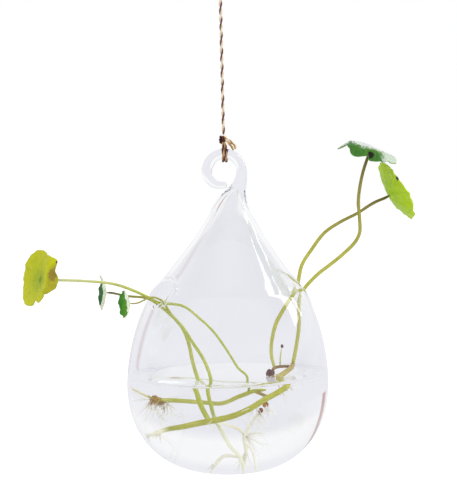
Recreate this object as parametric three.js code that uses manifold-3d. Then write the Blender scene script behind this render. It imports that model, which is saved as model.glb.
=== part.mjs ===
// A hanging glass planter for water plants: a blown teardrop bulb with a curled glass hook, two side
// openings, water, a small pennywort plant and the twine that it hangs on.
// Millimetres, +Z up, +X to the right in the front view, +Y away from the viewer.
// The origin is the point where the twine's top loop rests on its nail.
import * as THREE from "three";
import { mergeVertices } from "three/addons/utils/BufferGeometryUtils.js";
import Module from "manifold-3d";

const wasm = await Module();
wasm.setup();

// Twine and knots
const twineDiameter = 2;
const twineDrop = 87;
const topLoopLength = 24;
const topLoopWidth = 12;
const topKnotDiameter = 5.6;
const hookKnotWidth = 5.8;
const hookKnotHeight = 6;
const hookKnotRise = 8;
const wrapTurns = 2;

// Blown glass
const wallThickness = 2;
const lean = 1.93;
const baseFlatRadius = 14;
const bellyRadius = 60.1;
const bellyHeight = 51.5;
const shoulderRadius = 45.1;
const shoulderHeight = 107.8;
const shoulderSlope = 0.62;
const neckRadius = 11.6;
const neckHeight = 153.5;
const neckSlope = 0.62;
const cavityHeight = 166;
const ringHeight = 178.3;
const ringRadius = 10.45;
const rodDiameter = 6.3;
const rodTipDiameter = 4;
const ringOffset = 2.6;

// Side openings
const openingWidth = 26;
const leftOpeningLength = 20.4;
const rightOpeningLength = 25;
const leftOpeningTurn = 205;
const rightOpeningTurn = 18;
const rimDiameter = 3.4;

// Water and plant
const waterHeight = 58.9;
const petioleDiameter = 2;
const thickRunnerDiameter = 3.2;
const thinRunnerDiameter = 2.1;
const rootDiameter = 1.6;
const bladeThickness = 0.7;
const bigLeafRadius = 16.5;
const darkLeafRadius = 10.2;
const smallLeafRadius = 7.8;
const umbrellaLeafRadius = 17;
const limeLeafRadius = 19.4;
const squareStretch = 2.5;

// Which way each leaf's upper side faces
const bigLeafFaces = [-0.83, -0.51, 0.25];
const darkLeafFaces = [-0.99, -0.16, 0.05];
const smallLeafFaces = [-0.93, -0.38, 0.05];
const umbrellaLeafFaces = [0.39, -0.12, 0.92];
const limeLeafFaces = [0.87, 0.18, 0.46];

// Clearance between pieces that touch, and the little more that a bent stem has on a curved rim
const touch = 0.3;
const seatSlack = 0.2;

const degrees = Math.PI / 180;
const point = (x, y, z) => new THREE.Vector3(x, y, z);

// Heights of the hanging chain, from the nail down
const twineRadius = twineDiameter / 2;
const topKnotZ = -topLoopLength;
const twineTopZ = topKnotZ - topKnotDiameter / 2 - touch;
const twineBottomZ = twineTopZ - twineDrop;
const hookKnotZ = twineBottomZ - touch - hookKnotHeight / 2;
const rodZ = hookKnotZ - hookKnotRise;
const ringZ = rodZ - ringRadius;
const baseZ = ringZ - ringHeight;
const waterZ = baseZ + waterHeight;

// Booleans: a closed geometry becomes a solid, and a solid becomes a named mesh again
function solid(geometry) {
  const plain = geometry.index ? geometry.toNonIndexed() : geometry.clone();
  plain.deleteAttribute("normal");
  plain.deleteAttribute("uv");
  const merged = mergeVertices(plain, 1e-3);
  const made = new wasm.Manifold(
    new wasm.Mesh({
      numProp: 3,
      vertProperties: merged.attributes.position.array,
      triVerts: new Uint32Array(merged.index.array),
    }),
  );
  return made;
}

const planter = new THREE.Group();

function addPiece(name, body, material) {
  const mesh = body.getMesh();
  const places = new Float32Array(mesh.numVert * 3);
  for (let i = 0; i < mesh.numVert; i++) {
    const start = i * mesh.numProp;
    places.set(mesh.vertProperties.subarray(start, start + 3), i * 3);
  }
  const geometry = new THREE.BufferGeometry();
  geometry.setAttribute("position", new THREE.BufferAttribute(places, 3));
  geometry.setIndex(new THREE.BufferAttribute(mesh.triVerts, 1));
  geometry.computeVertexNormals();
  const piece = new THREE.Mesh(geometry, material);
  piece.name = name;
  planter.add(piece);
}

const finish = (colour, roughness) =>
  new THREE.MeshStandardMaterial({ color: colour, roughness, metalness: 0 });
const glass = new THREE.MeshStandardMaterial({
  color: 0xe9ebf0,
  roughness: 0.02,
  metalness: 0,
  transparent: true,
  opacity: 0.35,
});
const clearWater = new THREE.MeshStandardMaterial({
  color: 0xf1f3f5,
  roughness: 0.01,
  metalness: 0,
  transparent: true,
  opacity: 0.3,
});
const twineFibre = finish(0x9a7350, 0.9);
const twineDark = finish(0x5c2419, 0.9);
const petioleGreen = finish(0xa8ad3a, 0.45);
const runnerGreen = finish(0x9aa02c, 0.45);
const paleRoot = finish(0xe6e2c4, 0.5);
const crownBrown = finish(0x5a1f16, 0.6);
const nodeBrown = finish(0x9b6a24, 0.6);
const bigLeafGreen = finish(0xb3b81a, 0.5);
const limeLeafGreen = finish(0xa3c61b, 0.5);
const deepLeafGreen = finish(0x3f7d26, 0.45);

// A round stem or rod whose diameters are spread over its route's points. The sections start out as
// the rings of a straight cylinder and are carried to their places on the curve.
function taperedRod(curve, diameters, sides, steps, grow = 0) {
  const frames = curve.computeFrenetFrames(steps, false);
  const rod = new THREE.CylinderGeometry(1, 1, 1, sides, steps, false);
  const place = rod.attributes.position;
  for (let i = 0; i < place.count; i++) {
    const step = Math.round((place.getY(i) + 0.5) * steps);
    const along = curve.getUtoTmapping(step / steps) * (diameters.length - 1);
    const before = Math.min(Math.floor(along), diameters.length - 2);
    const width = THREE.MathUtils.lerp(diameters[before], diameters[before + 1], along - before);
    const radius = width / 2 + grow;
    const centre = curve.getPointAt(step / steps);
    if (step === 0) centre.addScaledVector(frames.tangents[0], -grow);
    if (step === steps) centre.addScaledVector(frames.tangents[steps], grow);
    centre.addScaledVector(frames.normals[step], place.getX(i) * radius);
    centre.addScaledVector(frames.binormals[step], -place.getZ(i) * radius);
    place.setXYZ(i, centre.x, centre.y, centre.z);
  }
  return solid(rod);
}

const smooth = (route) => new THREE.CatmullRomCurve3(route, false, "centripetal");

// A plant stem with the slightly larger copy that leaves room for it in its neighbours
function stem(route, diameters, stepLength = 6, sides = 8) {
  const curve = smooth(route);
  const steps = Math.max(4, Math.round(curve.getLength() / stepLength));
  return {
    curve,
    body: taperedRod(curve, diameters, sides, steps),
    room: taperedRod(curve, diameters, sides, steps, touch),
  };
}

// A rounded lump, such as a knot or a plant's crown
function lump(centre, width, depth, height, segments = 12) {
  const made = (grow) => {
    const ball = new THREE.SphereGeometry(1, segments, Math.round(segments / 2));
    ball.rotateX(Math.PI / 2);
    ball.scale(width / 2 + grow, depth / 2 + grow, height / 2 + grow);
    ball.translate(centre.x, centre.y, centre.z);
    return solid(ball);
  };
  return { body: made(0), room: made(touch) };
}

// The bulb's outline, from the flat of its base up to its neck, as [radius, height]
const baseHandle = 30;
const bellyHandleDown = 27.5;
const bellyHandleUp = 20;
const shoulderHandle = 14;
const neckHandle = 12.5;
const outlineSteps = 20;
const outline = new THREE.Path()
  .moveTo(baseFlatRadius, 0)
  .bezierCurveTo(
    baseFlatRadius + baseHandle,
    2,
    bellyRadius,
    bellyHeight - bellyHandleDown,
    bellyRadius,
    bellyHeight,
  )
  .bezierCurveTo(
    bellyRadius,
    bellyHeight + bellyHandleUp,
    shoulderRadius + shoulderSlope * shoulderHandle,
    shoulderHeight - shoulderHandle,
    shoulderRadius,
    shoulderHeight,
  )
  .bezierCurveTo(
    shoulderRadius - shoulderSlope * shoulderHandle,
    shoulderHeight + shoulderHandle * 0.66,
    neckRadius + neckSlope * neckHandle,
    neckHeight - neckHandle,
    neckRadius,
    neckHeight,
  )
  .getSpacedPoints(outlineSteps);

// The same outline set in from the outside of the glass
function setIn(distance) {
  return outline.map((here, i) => {
    const before = outline[Math.max(i - 1, 0)];
    const after = outline[Math.min(i + 1, outline.length - 1)];
    const along = after.clone().sub(before).normalize();
    return new THREE.Vector2(here.x - along.y * distance, here.y + along.x * distance);
  });
}

function radiusAt(profile, height) {
  const above = profile.findIndex((p) => p.y >= height);
  const next = profile[Math.max(above, 1)];
  const last = profile[Math.max(above, 1) - 1];
  return THREE.MathUtils.mapLinear(height, last.y, next.y, last.x, next.x);
}

const turnSegments = 40;
function turned(profile) {
  const shape = new THREE.LatheGeometry(profile, turnSegments);
  shape.rotateX(Math.PI / 2);
  return solid(shape);
}

// The bulb hangs a little askew: its own axis leans, and its neck stands beside the plumb line
const neckX = ringOffset;
const baseX = neckX - Math.tan(lean * degrees) * neckHeight;
const bulbFrame = new THREE.Matrix4()
  .makeTranslation(baseX, 0, baseZ)
  .multiply(new THREE.Matrix4().makeRotationY(lean * degrees));
const inFrame = (x, y, z) => point(x, y, z).applyMatrix4(bulbFrame);
const leaned = (body) => body.transform([...bulbFrame.elements]);

// Side openings: an oval cut square to the glass, with a thick fire-rounded rim that follows the wall
const middleOutline = setIn(wallThickness / 2);
function opening(turn, length) {
  const angle = turn * degrees;
  const tilt = Math.atan(shoulderSlope);
  const outward = point(
    Math.cos(angle) * Math.cos(tilt),
    Math.sin(angle) * Math.cos(tilt),
    Math.sin(tilt),
  );
  const across = point(-Math.sin(angle), Math.cos(angle), 0);
  const up = outward.clone().cross(across);
  const radius = radiusAt(middleOutline, shoulderHeight);
  const centre = point(radius * Math.cos(angle), radius * Math.sin(angle), shoulderHeight);
  return { outward, across, up, centre, halfWidth: openingWidth / 2, halfLength: length / 2 };
}

// How far the middle of the glass wall lies from the opening's flat plane
function wallDepth(hole, u, v) {
  let low = -openingWidth;
  let high = openingWidth / 2;
  for (let i = 0; i < 30; i++) {
    const depth = (low + high) / 2;
    const place = hole.centre
      .clone()
      .addScaledVector(hole.across, u)
      .addScaledVector(hole.up, v)
      .addScaledVector(hole.outward, depth);
    if (Math.hypot(place.x, place.y) > radiusAt(middleOutline, place.z)) high = depth;
    else low = depth;
  }
  return low;
}

// A point on the rim's centre line, or beside it towards the hole's middle
function rimPoint(hole, angle, inwards = 0) {
  const u = Math.cos(angle) * hole.halfWidth;
  const v = Math.sin(angle) * hole.halfLength;
  const depth = wallDepth(hole, u, v);
  const side = new THREE.Vector2(u / hole.halfWidth ** 2, v / hole.halfLength ** 2).normalize();
  return hole.centre
    .clone()
    .addScaledVector(hole.across, u - side.x * inwards)
    .addScaledVector(hole.up, v - side.y * inwards)
    .addScaledVector(hole.outward, depth);
}

const rimSides = 8;
const rimSegments = 24;
function openingRim(hole) {
  const ring = new THREE.TorusGeometry(hole.halfWidth, rimDiameter / 2, rimSides, rimSegments);
  const place = ring.attributes.position;
  for (let i = 0; i < place.count; i++) {
    const angle = Math.atan2(place.getY(i), place.getX(i));
    const beside = Math.hypot(place.getX(i), place.getY(i)) - hole.halfWidth;
    const spot = rimPoint(hole, angle, -beside);
    spot.addScaledVector(hole.outward, place.getZ(i));
    place.setXYZ(i, spot.x, spot.y, spot.z);
  }
  return solid(ring);
}

function openingCut(hole) {
  const cut = new THREE.CylinderGeometry(1, 1, openingWidth, rimSegments);
  cut.rotateX(Math.PI / 2);
  cut.scale(hole.halfWidth, hole.halfLength, 1);
  const turn = new THREE.Matrix4().makeBasis(hole.across, hole.up, hole.outward);
  cut.applyMatrix4(turn.setPosition(hole.centre));
  return solid(cut);
}

const leftOpening = opening(leftOpeningTurn, leftOpeningLength);
const rightOpening = opening(rightOpeningTurn, rightOpeningLength);

// The hook: the neck draws out into a rod that curls once round above the bulb. Each place on the
// neck's run is [beside the neck, height, diameter], and each on the curl is [angle, inset, diameter].
const hookSides = 12;
const hookSteps = 32;
const neckRun = [
  [-0.1, neckHeight - 4.4, 2 * neckRadius + 4.2],
  [0, neckHeight - 0.7, 2 * neckRadius + 0.8],
  [0.1, neckHeight + 4.8, 18.6],
  [1.4, neckHeight + 9.2, 13.8],
  [3.3, neckHeight + 12.2, 10.8],
  [5, neckHeight + 15.7, 9.1],
  [6.4, neckHeight + 18.5, 7.6],
  [7.4, neckHeight + 21.8, 6.5],
];
const curl = [
  [0, 0, rodDiameter - 0.3],
  [30, 0, rodDiameter],
  [60, 0, rodDiameter],
  [90, 0, rodDiameter],
  [120, 0, rodDiameter],
  [150, 0, rodDiameter],
  [180, 0, rodDiameter],
  [205, 0.2, rodDiameter - 0.4],
  [230, 0.8, rodDiameter - 1.1],
  [252, 1.7, rodTipDiameter + 0.6],
  [264, 2.1, rodTipDiameter + 0.2],
  [270, 2.2, rodTipDiameter],
  [275, 2.25, rodTipDiameter - 0.6],
  [279, 2.3, rodTipDiameter - 1.8],
  [281, 2.3, rodTipDiameter - 3],
];
const curlPlaces = curl.map(([angle, inset]) => {
  const reachOut = ringRadius - inset;
  const turn = angle * degrees;
  return point(reachOut * Math.cos(turn), 0, ringZ + reachOut * Math.sin(turn));
});
const hookRoute = [
  ...neckRun.map(([beside, height]) => point(neckX + beside, 0, baseZ + height)),
  ...curlPlaces,
];
const hookDiameters = [...neckRun, ...curl].map((place) => place[2]);

function glassVase() {
  const outer = turned([
    new THREE.Vector2(0, -1),
    new THREE.Vector2(baseFlatRadius, -1),
    ...outline,
    new THREE.Vector2(0, neckHeight),
  ]);
  const hollow = setIn(wallThickness).filter((p) => p.y > wallThickness && p.x > 0);
  const inner = turned([
    new THREE.Vector2(0, wallThickness),
    new THREE.Vector2(baseFlatRadius, wallThickness),
    ...hollow,
    new THREE.Vector2(0, cavityHeight),
  ]);
  const bench = new THREE.BoxGeometry(4 * bellyRadius, 4 * bellyRadius, bellyRadius);
  bench.translate(0, 0, baseZ - bellyRadius / 2);
  return leaned(outer)
    .add(taperedRod(smooth(hookRoute), hookDiameters, hookSides, hookSteps))
    .subtract(leaned(inner))
    .subtract(leaned(openingCut(leftOpening)))
    .subtract(leaned(openingCut(rightOpening)))
    .add(leaned(openingRim(leftOpening)))
    .add(leaned(openingRim(rightOpening)))
    .subtract(solid(bench));
}

// Places inside the bulb, in hundredths. Under water, across and away are of the inner belly radius and
// up is of the water's height. Over it, they are of the inner radius at that height, and up is of the
// rise from the water to the openings' middle.
const roomRadius = bellyRadius - wallThickness;
const roomX = baseX + Math.tan(lean * degrees) * waterHeight;
const percent = 0.01;
const inWater = ([across, away, up]) =>
  point(
    roomX + across * roomRadius * percent,
    away * roomRadius * percent,
    baseZ + up * waterHeight * percent,
  );
const overWater = ([across, away, up]) => {
  const radius = THREE.MathUtils.lerp(roomRadius, shoulderRadius - wallThickness, up * percent);
  return point(
    roomX + across * radius * percent,
    away * radius * percent,
    waterZ + up * (shoulderHeight - waterHeight) * percent,
  );
};

// Where a petiole that heads a given way leans on an opening's rim
function rimSeat(hole, angle, heading, diameter) {
  const here = rimPoint(hole, angle * degrees);
  const along = rimPoint(hole, (angle + 1) * degrees).sub(here);
  const aside = point(...heading).cross(along).normalize();
  if (aside.dot(hole.centre.clone().sub(here)) < 0) aside.negate();
  const clear = rimDiameter / 2 + touch + seatSlack + diameter / 2;
  return here.addScaledVector(aside, clear).applyMatrix4(bulbFrame);
}
const from = (start, offsets) => offsets.map(([x, y, z]) => start.clone().add(point(x, y, z)));

// The last stretch of a petiole, which meets its blade squarely
function reach(start, offsets, faces) {
  const run = from(start, offsets);
  const tip = run[run.length - 1];
  const up = point(...faces).normalize();
  return [...run.slice(0, -1), tip.clone().addScaledVector(up, -squareStretch), tip];
}

// Runners: the plant's creeping stems under the water
const lowerRunner = stem(
  [
    ...[
      [-73, -34, 47],
      [-56, -45, 55],
      [-41, -57, 59],
      [-26, -65, 63],
      [-12, -72, 66],
      [4, -76, 70],
      [19, -76, 76],
      [34, -72, 84],
      [47, -67, 90],
      [54, -63, 94],
      [52, -52, 97],
      [50, -43, 99],
    ].map(inWater),
    ...[
      [56, -29, 1],
      [62.5, -14, 3],
      [66.5, 0, 4],
      [69, 13, 6],
    ].map(overWater),
  ],
  [2.2, thickRunnerDiameter, thickRunnerDiameter, thickRunnerDiameter, thickRunnerDiameter, 2.8],
  6,
);
const upperRunner = stem(
  [
    [-56, 7, 75],
    [-41, 3, 75],
    [-23, -10, 75],
    [-5, -28, 76],
    [9, -40, 83],
    [23, -50, 89],
    [33, -53, 90],
  ].map(inWater),
  [thinRunnerDiameter, thinRunnerDiameter, thinRunnerDiameter, 2.4, 1.4],
  6,
);
const leftNode = lump(inWater([-56, 7, 75]), 4.6, 4, 4.4);
const thinRunner = stem(
  [
    [-56, 7, 75],
    [-67, 5, 80],
    [-81, 3, 86],
  ].map(inWater),
  [1.2, 1],
);
const linkTop = upperRunner.curve.getPointAt(0.9);
const linkFoot = lowerRunner.curve.getPointAt(0.56);
const runnerLink = stem([linkTop, linkTop.clone().lerp(linkFoot, 0.5), linkFoot], [1.8, 1.8], 3);

// Crown: the short stem at the water's surface that the right-hand petioles grow from
const crownStem = stem(
  [
    ...[
      [45.5, -14, 3],
      [49.5, -8, 5],
      [59, -7, 6],
    ].map(overWater),
    lowerRunner.curve.getPointAt(0.94),
  ],
  [2, 1.8, 1.8],
  4,
);
const crown = lump(overWater([43, -17, 2]), 5, 5.6, 4);
const sproutFoot = crownStem.curve.getPointAt(0.45);
const sproutBend = from(sproutFoot, [
  [0.4, 0.4, 6],
  [1.2, 0.8, 11],
]);
const sprout = stem([sproutFoot, ...sproutBend], [0.9, 0.7], 3, 6);
const sproutBud = lump(sproutBend[1].clone().add(point(0.3, 0, 1)), 1.9, 1.8, 2.2, 8);

// Left petioles: from the runners, up through the water, over the lower lip and out to their leaves
const bigSeat = rimSeat(leftOpening, -66, [-0.93, -0.05, 0.35], petioleDiameter);
const darkSeat = rimSeat(leftOpening, -81, [-0.93, 0.1, 0.35], petioleDiameter);
const smallSeat = rimSeat(leftOpening, -46, [-0.9, -0.1, 0.4], petioleDiameter);
const bigLeafRun = [
  [-7, -3.2, 4.2],
  [-14, -6, 7.9],
  [-21, -8.3, 11],
  [-28, -10, 13],
  [-44, -13.5, 15],
  [-66.5, -17, 17],
];
const bigPetiole = stem(
  [
    upperRunner.curve.getPointAt(0.84),
    ...[
      [19, -54.5, 3],
      [10.5, -57, 14],
      [-1, -60.5, 36],
      [-16.5, -62.5, 58],
      [-33.5, -61.5, 73],
      [-55.5, -50, 86],
    ].map(overWater),
    bigSeat,
    ...reach(bigSeat, bigLeafRun, bigLeafFaces),
  ],
  [petioleDiameter, petioleDiameter, petioleDiameter, petioleDiameter, 1.6, 1.4],
);
const darkLeafRun = [
  [-5.8, 0, 3],
  [-17, 1.5, 4.3],
  [-29, 3.4, 6.3],
];
const darkPetiole = stem(
  [
    lowerRunner.curve.getPointAt(0.3),
    ...[
      [-19, -60, 67],
      [-24, -48, 77],
      [-27, -36, 88],
      [-31, -31, 100],
    ].map(inWater),
    ...[
      [-36.5, -32.5, 17],
      [-43.5, -37, 42],
      [-53, -40, 60],
      [-67, -44.5, 74],
    ].map(overWater),
    darkSeat,
    ...reach(darkSeat, darkLeafRun, darkLeafFaces),
  ],
  [2.7, 2.7, petioleDiameter, petioleDiameter, petioleDiameter, 1.4],
);
const smallLeafRun = [
  [-6, -3.2, 3],
  [-14, -8.2, 0.5],
  [-18.6, -11.2, 0.5],
];
const smallPetiole = stem(
  [
    ...[
      [12, -4, 18],
      [10, -14, 29],
      [7, -24, 34],
      [0, -38, 42],
      [-8, -48, 57],
      [-13, -55, 68],
      [-15, -59, 76],
      [-18, -60, 91],
    ].map(inWater),
    ...[
      [-17, -60.5, 2],
      [-25.5, -63, 26],
      [-38.5, -62, 45],
      [-51, -62, 62],
      [-66.5, -58.5, 76],
    ].map(overWater),
    smallSeat,
    ...reach(smallSeat, smallLeafRun, smallLeafFaces),
  ],
  [1.4, 1.8, petioleDiameter, petioleDiameter, petioleDiameter, petioleDiameter, 1.4],
);

// Right petioles: from the crown, up past the near side of the rim and out to their leaves
const limeSeat = rimSeat(rightOpening, 150, [0.4, 0.1, 0.9], petioleDiameter);
const umbrellaSeat = rimSeat(rightOpening, 182, [0.45, 0, 0.9], petioleDiameter);
const limeLeafRun = [
  [3, 1.2, 11.5],
  [9, 2.5, 20.5],
  [17, 3.7, 30.3],
  [26.5, 4.9, 36.4],
  [37, 5.9, 41.4],
  [47.5, 9.4, 47.4],
  [57, 13.9, 51.2],
];
const limePetiole = stem(
  [
    crownStem.curve.getPointAt(0.2),
    ...[
      [47.5, -2, 22],
      [52.5, 2, 42],
      [60, 4.5, 58],
      [71, 7.5, 72],
      [91, 9, 93],
    ].map(overWater),
    limeSeat,
    ...reach(limeSeat, limeLeafRun, limeLeafFaces),
  ],
  [1.8, 2.4, 2.3, 2.2, 2, 1.6],
);
const umbrellaLeafRun = [
  [8.6, 0, 9.4],
  [17.6, -0.8, 16.3],
  [25, -1.8, 22.3],
  [32, -2.8, 29.3],
  [34.6, -3.3, 34.8],
  [34.6, -3.8, 43.8],
  [34.1, -3.8, 53.8],
  [36.9, -3.3, 69.6],
  [42.6, -2.8, 85],
];
const umbrellaPetiole = stem(
  [
    lowerRunner.curve.getPointAt(0.985),
    ...[
      [78.5, 14, 31],
      [87.5, 14, 55],
      [92, 12.5, 72],
      [98.5, 10.5, 88],
    ].map(overWater),
    umbrellaSeat,
    ...reach(umbrellaSeat, umbrellaLeafRun, umbrellaLeafFaces),
  ],
  [2.4, 2.2, 2.2, 2.2, 2, 1.8],
);

// Nodules and main roots
const upperNodule = lump(inWater([33.5, -71, 79]), 3.4, 3, 3);
const lowerNodule = lump(inWater([29, -69, 73.5]), 2.8, 2.6, 2.6);
const middleRoot = stem(
  [
    [29, -69, 73],
    [23, -65, 66],
    [18, -52, 58],
    [12, -31, 47],
    [13, -17, 37],
    [11, -7, 28],
    [10, 2, 20],
  ].map(inWater),
  [rootDiameter * 0.8, rootDiameter, rootDiameter, rootDiameter * 0.8],
);
const arcRoot = stem(
  [
    lowerRunner.curve.getPointAt(0.32),
    ...[
      [-9, -63, 63],
      [-3, -46, 60],
      [8, -40, 55],
    ].map(inWater),
    middleRoot.curve.getPointAt(0.5),
  ],
  [rootDiameter, rootDiameter, rootDiameter * 0.8],
);
const rightRoot = stem(
  [
    middleRoot.curve.getPointAt(0.62),
    ...[
      [17, -21, 39],
      [21, -10, 26],
      [23, -3, 15],
    ].map(inWater),
  ],
  [rootDiameter * 0.7, rootDiameter * 0.7],
);
const leftRoot = stem(
  [
    ...[
      [-13, -7, 28],
      [-4, -17, 34],
    ].map(inWater),
    smallPetiole.curve.getPointAt(0.095),
  ],
  [rootDiameter, rootDiameter * 0.8],
);

// A leaf blade: a thin round disc that is cupped, rippled and scalloped, set on its petiole's tip.
// cup lifts the edge towards the leaf's upper side. What lies beyond foldAt is bent back by fold,
// and flap says how many times longer than the disc it has grown there.
// Past droopAt the near side hangs down by droop.
function leafBlade(radius, leaf) {
  const half = bladeThickness / 2;
  const rings = [0.25, 0.5, 0.75, 0.92];
  const profile = [
    new THREE.Vector2(0, -half),
    ...rings.map((ring) => new THREE.Vector2(ring * radius, -half)),
    new THREE.Vector2(radius, 0),
    ...rings.reverse().map((ring) => new THREE.Vector2(ring * radius, half)),
    new THREE.Vector2(0, half),
  ];
  const blade = new THREE.LatheGeometry(profile, leaf.segments);
  const place = blade.attributes.position;
  for (let i = 0; i < place.count; i++) {
    const angle = Math.atan2(place.getZ(i), place.getX(i));
    const share = Math.hypot(place.getX(i), place.getZ(i)) / radius;
    const scallop = 1 + leaf.scallop * share ** 3 * Math.cos(leaf.lobes * angle);
    let x = place.getX(i) * scallop;
    let y = place.getY(i) + leaf.cup * share ** 2;
    let z = place.getZ(i) * scallop;
    y += leaf.ripple * share ** 2 * Math.cos(leaf.waves * angle + 1);
    if (leaf.fold && x > leaf.foldAt) {
      const beyond = (x - leaf.foldAt) * leaf.flap;
      x = leaf.foldAt + beyond * Math.cos(leaf.fold * degrees);
      y -= beyond * Math.sin(leaf.fold * degrees);
    }
    if (leaf.droop && -z > leaf.droopAt) {
      const beyond = -z - leaf.droopAt;
      z = -leaf.droopAt - beyond * Math.cos(leaf.droop * degrees);
      y -= beyond * Math.sin(leaf.droop * degrees);
    }
    place.setXYZ(i, x, y, z);
  }
  const up = point(...leaf.faces).normalize();
  const side = point(...leaf.side).cross(up).normalize();
  const turn = new THREE.Matrix4().makeBasis(side.clone(), up, side.clone().cross(up));
  const tip = leaf.stem.curve.getPointAt(1);
  blade.applyMatrix4(turn.setPosition(tip.addScaledVector(up, half + touch)));
  return solid(blade);
}

const bigLeaf = leafBlade(bigLeafRadius, {
  stem: bigPetiole,
  segments: 28,
  faces: bigLeafFaces,
  side: [0, 0, 1],
  cup: 2.5,
  ripple: 0.8,
  waves: 3,
  scallop: 0.03,
  lobes: 7,
  foldAt: 12.8,
  fold: 80,
  flap: 2.4,
});
const darkLeaf = leafBlade(darkLeafRadius, {
  stem: darkPetiole,
  segments: 24,
  faces: darkLeafFaces,
  side: [0, 0, -1],
  cup: 3,
  ripple: 0.5,
  waves: 3,
  scallop: 0.03,
  lobes: 7,
});
const smallLeaf = leafBlade(smallLeafRadius, {
  stem: smallPetiole,
  segments: 24,
  faces: smallLeafFaces,
  side: [0, 0, -1],
  cup: 3.4,
  ripple: 0.8,
  waves: 2,
  scallop: 0.04,
  lobes: 6,
});
const umbrellaLeaf = leafBlade(umbrellaLeafRadius, {
  stem: umbrellaPetiole,
  segments: 28,
  faces: umbrellaLeafFaces,
  side: [0, -1, 0],
  cup: -2.5,
  ripple: 1,
  waves: 4,
  scallop: 0.04,
  lobes: 7,
  foldAt: 13.2,
  fold: 55,
  flap: 2,
  droopAt: 11.3,
  droop: 50,
});
const limeLeaf = leafBlade(limeLeafRadius, {
  stem: limePetiole,
  segments: 28,
  faces: limeLeafFaces,
  side: [0, 0, -1],
  cup: 5.5,
  ripple: 0.6,
  waves: 4,
  scallop: 0.03,
  lobes: 7,
});

// Water: it fills the bulb up to its level and leaves room for everything that grows in it
const underWater = [
  lowerRunner,
  upperRunner,
  leftNode,
  thinRunner,
  runnerLink,
  crownStem,
  crown,
  bigPetiole,
  darkPetiole,
  smallPetiole,
  upperNodule,
  lowerNodule,
  middleRoot,
  arcRoot,
  rightRoot,
  leftRoot,
];
function waterBody() {
  const wet = setIn(wallThickness + touch).filter((p) => p.y > wallThickness + touch && p.x > 0);
  const full = turned([
    new THREE.Vector2(0, wallThickness + touch),
    new THREE.Vector2(baseFlatRadius - touch, wallThickness + touch),
    ...wet,
    new THREE.Vector2(0, cavityHeight - wallThickness),
  ]);
  const air = new THREE.BoxGeometry(4 * bellyRadius, 4 * bellyRadius, 4 * bellyRadius);
  air.translate(0, 0, waterZ + 2 * bellyRadius);
  let body = leaned(full).subtract(solid(air));
  for (const piece of underWater) body = body.subtract(piece.room);
  return body;
}

// Twine: a loop over the nail, a knot, the free drop, and a knot whose wraps carry the glass rod
const twineSides = 8;
function cord(route, steps, section) {
  const outlineOfCord = section ?? roundSection(twineRadius, twineRadius);
  return solid(new THREE.ExtrudeGeometry(outlineOfCord, { steps, extrudePath: smooth(route) }));
}
function roundSection(halfWidth, halfDepth) {
  const corners = [];
  for (let i = 0; i < twineSides; i++) {
    const angle = ((i + 0.5) * 2 * Math.PI) / twineSides;
    corners.push(new THREE.Vector2(halfWidth * Math.cos(angle), halfDepth * Math.sin(angle)));
  }
  return new THREE.Shape(corners);
}

const topKnot = lump(point(0, 0, topKnotZ), topKnotDiameter, topKnotDiameter, topKnotDiameter, 16);
const loopHalf = topLoopWidth / 2;
const loopTopZ = twineRadius;
const loopFoot = topKnotZ + topKnotDiameter * 0.2;
const topLoopRoute = [
  point(-twineRadius * 1.2, 0, loopFoot),
  point(-loopHalf * 0.45, 0, topKnotZ * 0.7),
  point(-loopHalf * 0.95, 0, topKnotZ * 0.36),
  point(-loopHalf * 0.8, 0, topKnotZ * 0.1),
  point(0, 0, loopTopZ),
  point(loopHalf * 0.8, 0, topKnotZ * 0.1),
  point(loopHalf * 0.95, 0, topKnotZ * 0.36),
  point(loopHalf * 0.45, 0, topKnotZ * 0.7),
  point(twineRadius * 1.2, 0, loopFoot),
];
const twineRoute = [
  point(0, 0, twineTopZ),
  point(0, 0, twineTopZ - twineDrop * 0.33),
  point(0, 0, twineTopZ - twineDrop * 0.67),
  point(0, 0, twineBottomZ),
];

const hookKnot = lump(point(0.1, 0, hookKnotZ), hookKnotWidth, 5.2, hookKnotHeight, 16);
const wrapHalfDepth = 0.95;
const wrapPlay = 0.5;
const wrapRadius = rodDiameter / 2 + wrapPlay + wrapHalfDepth;
const wrapZ = rodZ + wrapPlay - touch;
const wrapAngles = [-15, -45, -68, -90, -112, -135, -165];
const wrapRoute = [
  point(0, 1.3, hookKnotZ - hookKnotHeight * 0.25),
  point(0, 3.4, wrapZ + wrapRadius * 0.75),
  ...wrapAngles.map((angle) =>
    point(0, wrapRadius * Math.cos(angle * degrees), wrapZ + wrapRadius * Math.sin(angle * degrees)),
  ),
  point(0, -3.4, wrapZ + wrapRadius * 0.75),
  point(0, -1.3, hookKnotZ - hookKnotHeight * 0.25),
];
const wrapSection = roundSection((wrapTurns * twineDiameter * 0.9) / 2, wrapHalfDepth);
const tailRoute = from(point(0, 0, hookKnotZ), [
  [1.4, -0.5, 0.8],
  [4.8, -2, -2.2],
  [7.4, -3.8, -5.6],
]);
const tail = taperedRod(smooth(tailRoute), [1.6, 2.2, 2.8, 3], twineSides, 5);

addPiece("hanging_loop", cord(topLoopRoute, 22).subtract(topKnot.room), twineFibre);
addPiece("loop_knot", topKnot.body, twineDark);
addPiece("twine", cord(twineRoute, 18), twineFibre);
addPiece("hook_knot", hookKnot.body, twineDark);
addPiece("hook_wrap", cord(wrapRoute, 22, wrapSection).subtract(hookKnot.room), twineDark);
addPiece("twine_tail", tail.subtract(hookKnot.room), twineFibre);

addPiece("glass_vase", glassVase(), glass);
addPiece("water", waterBody(), clearWater);

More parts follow.
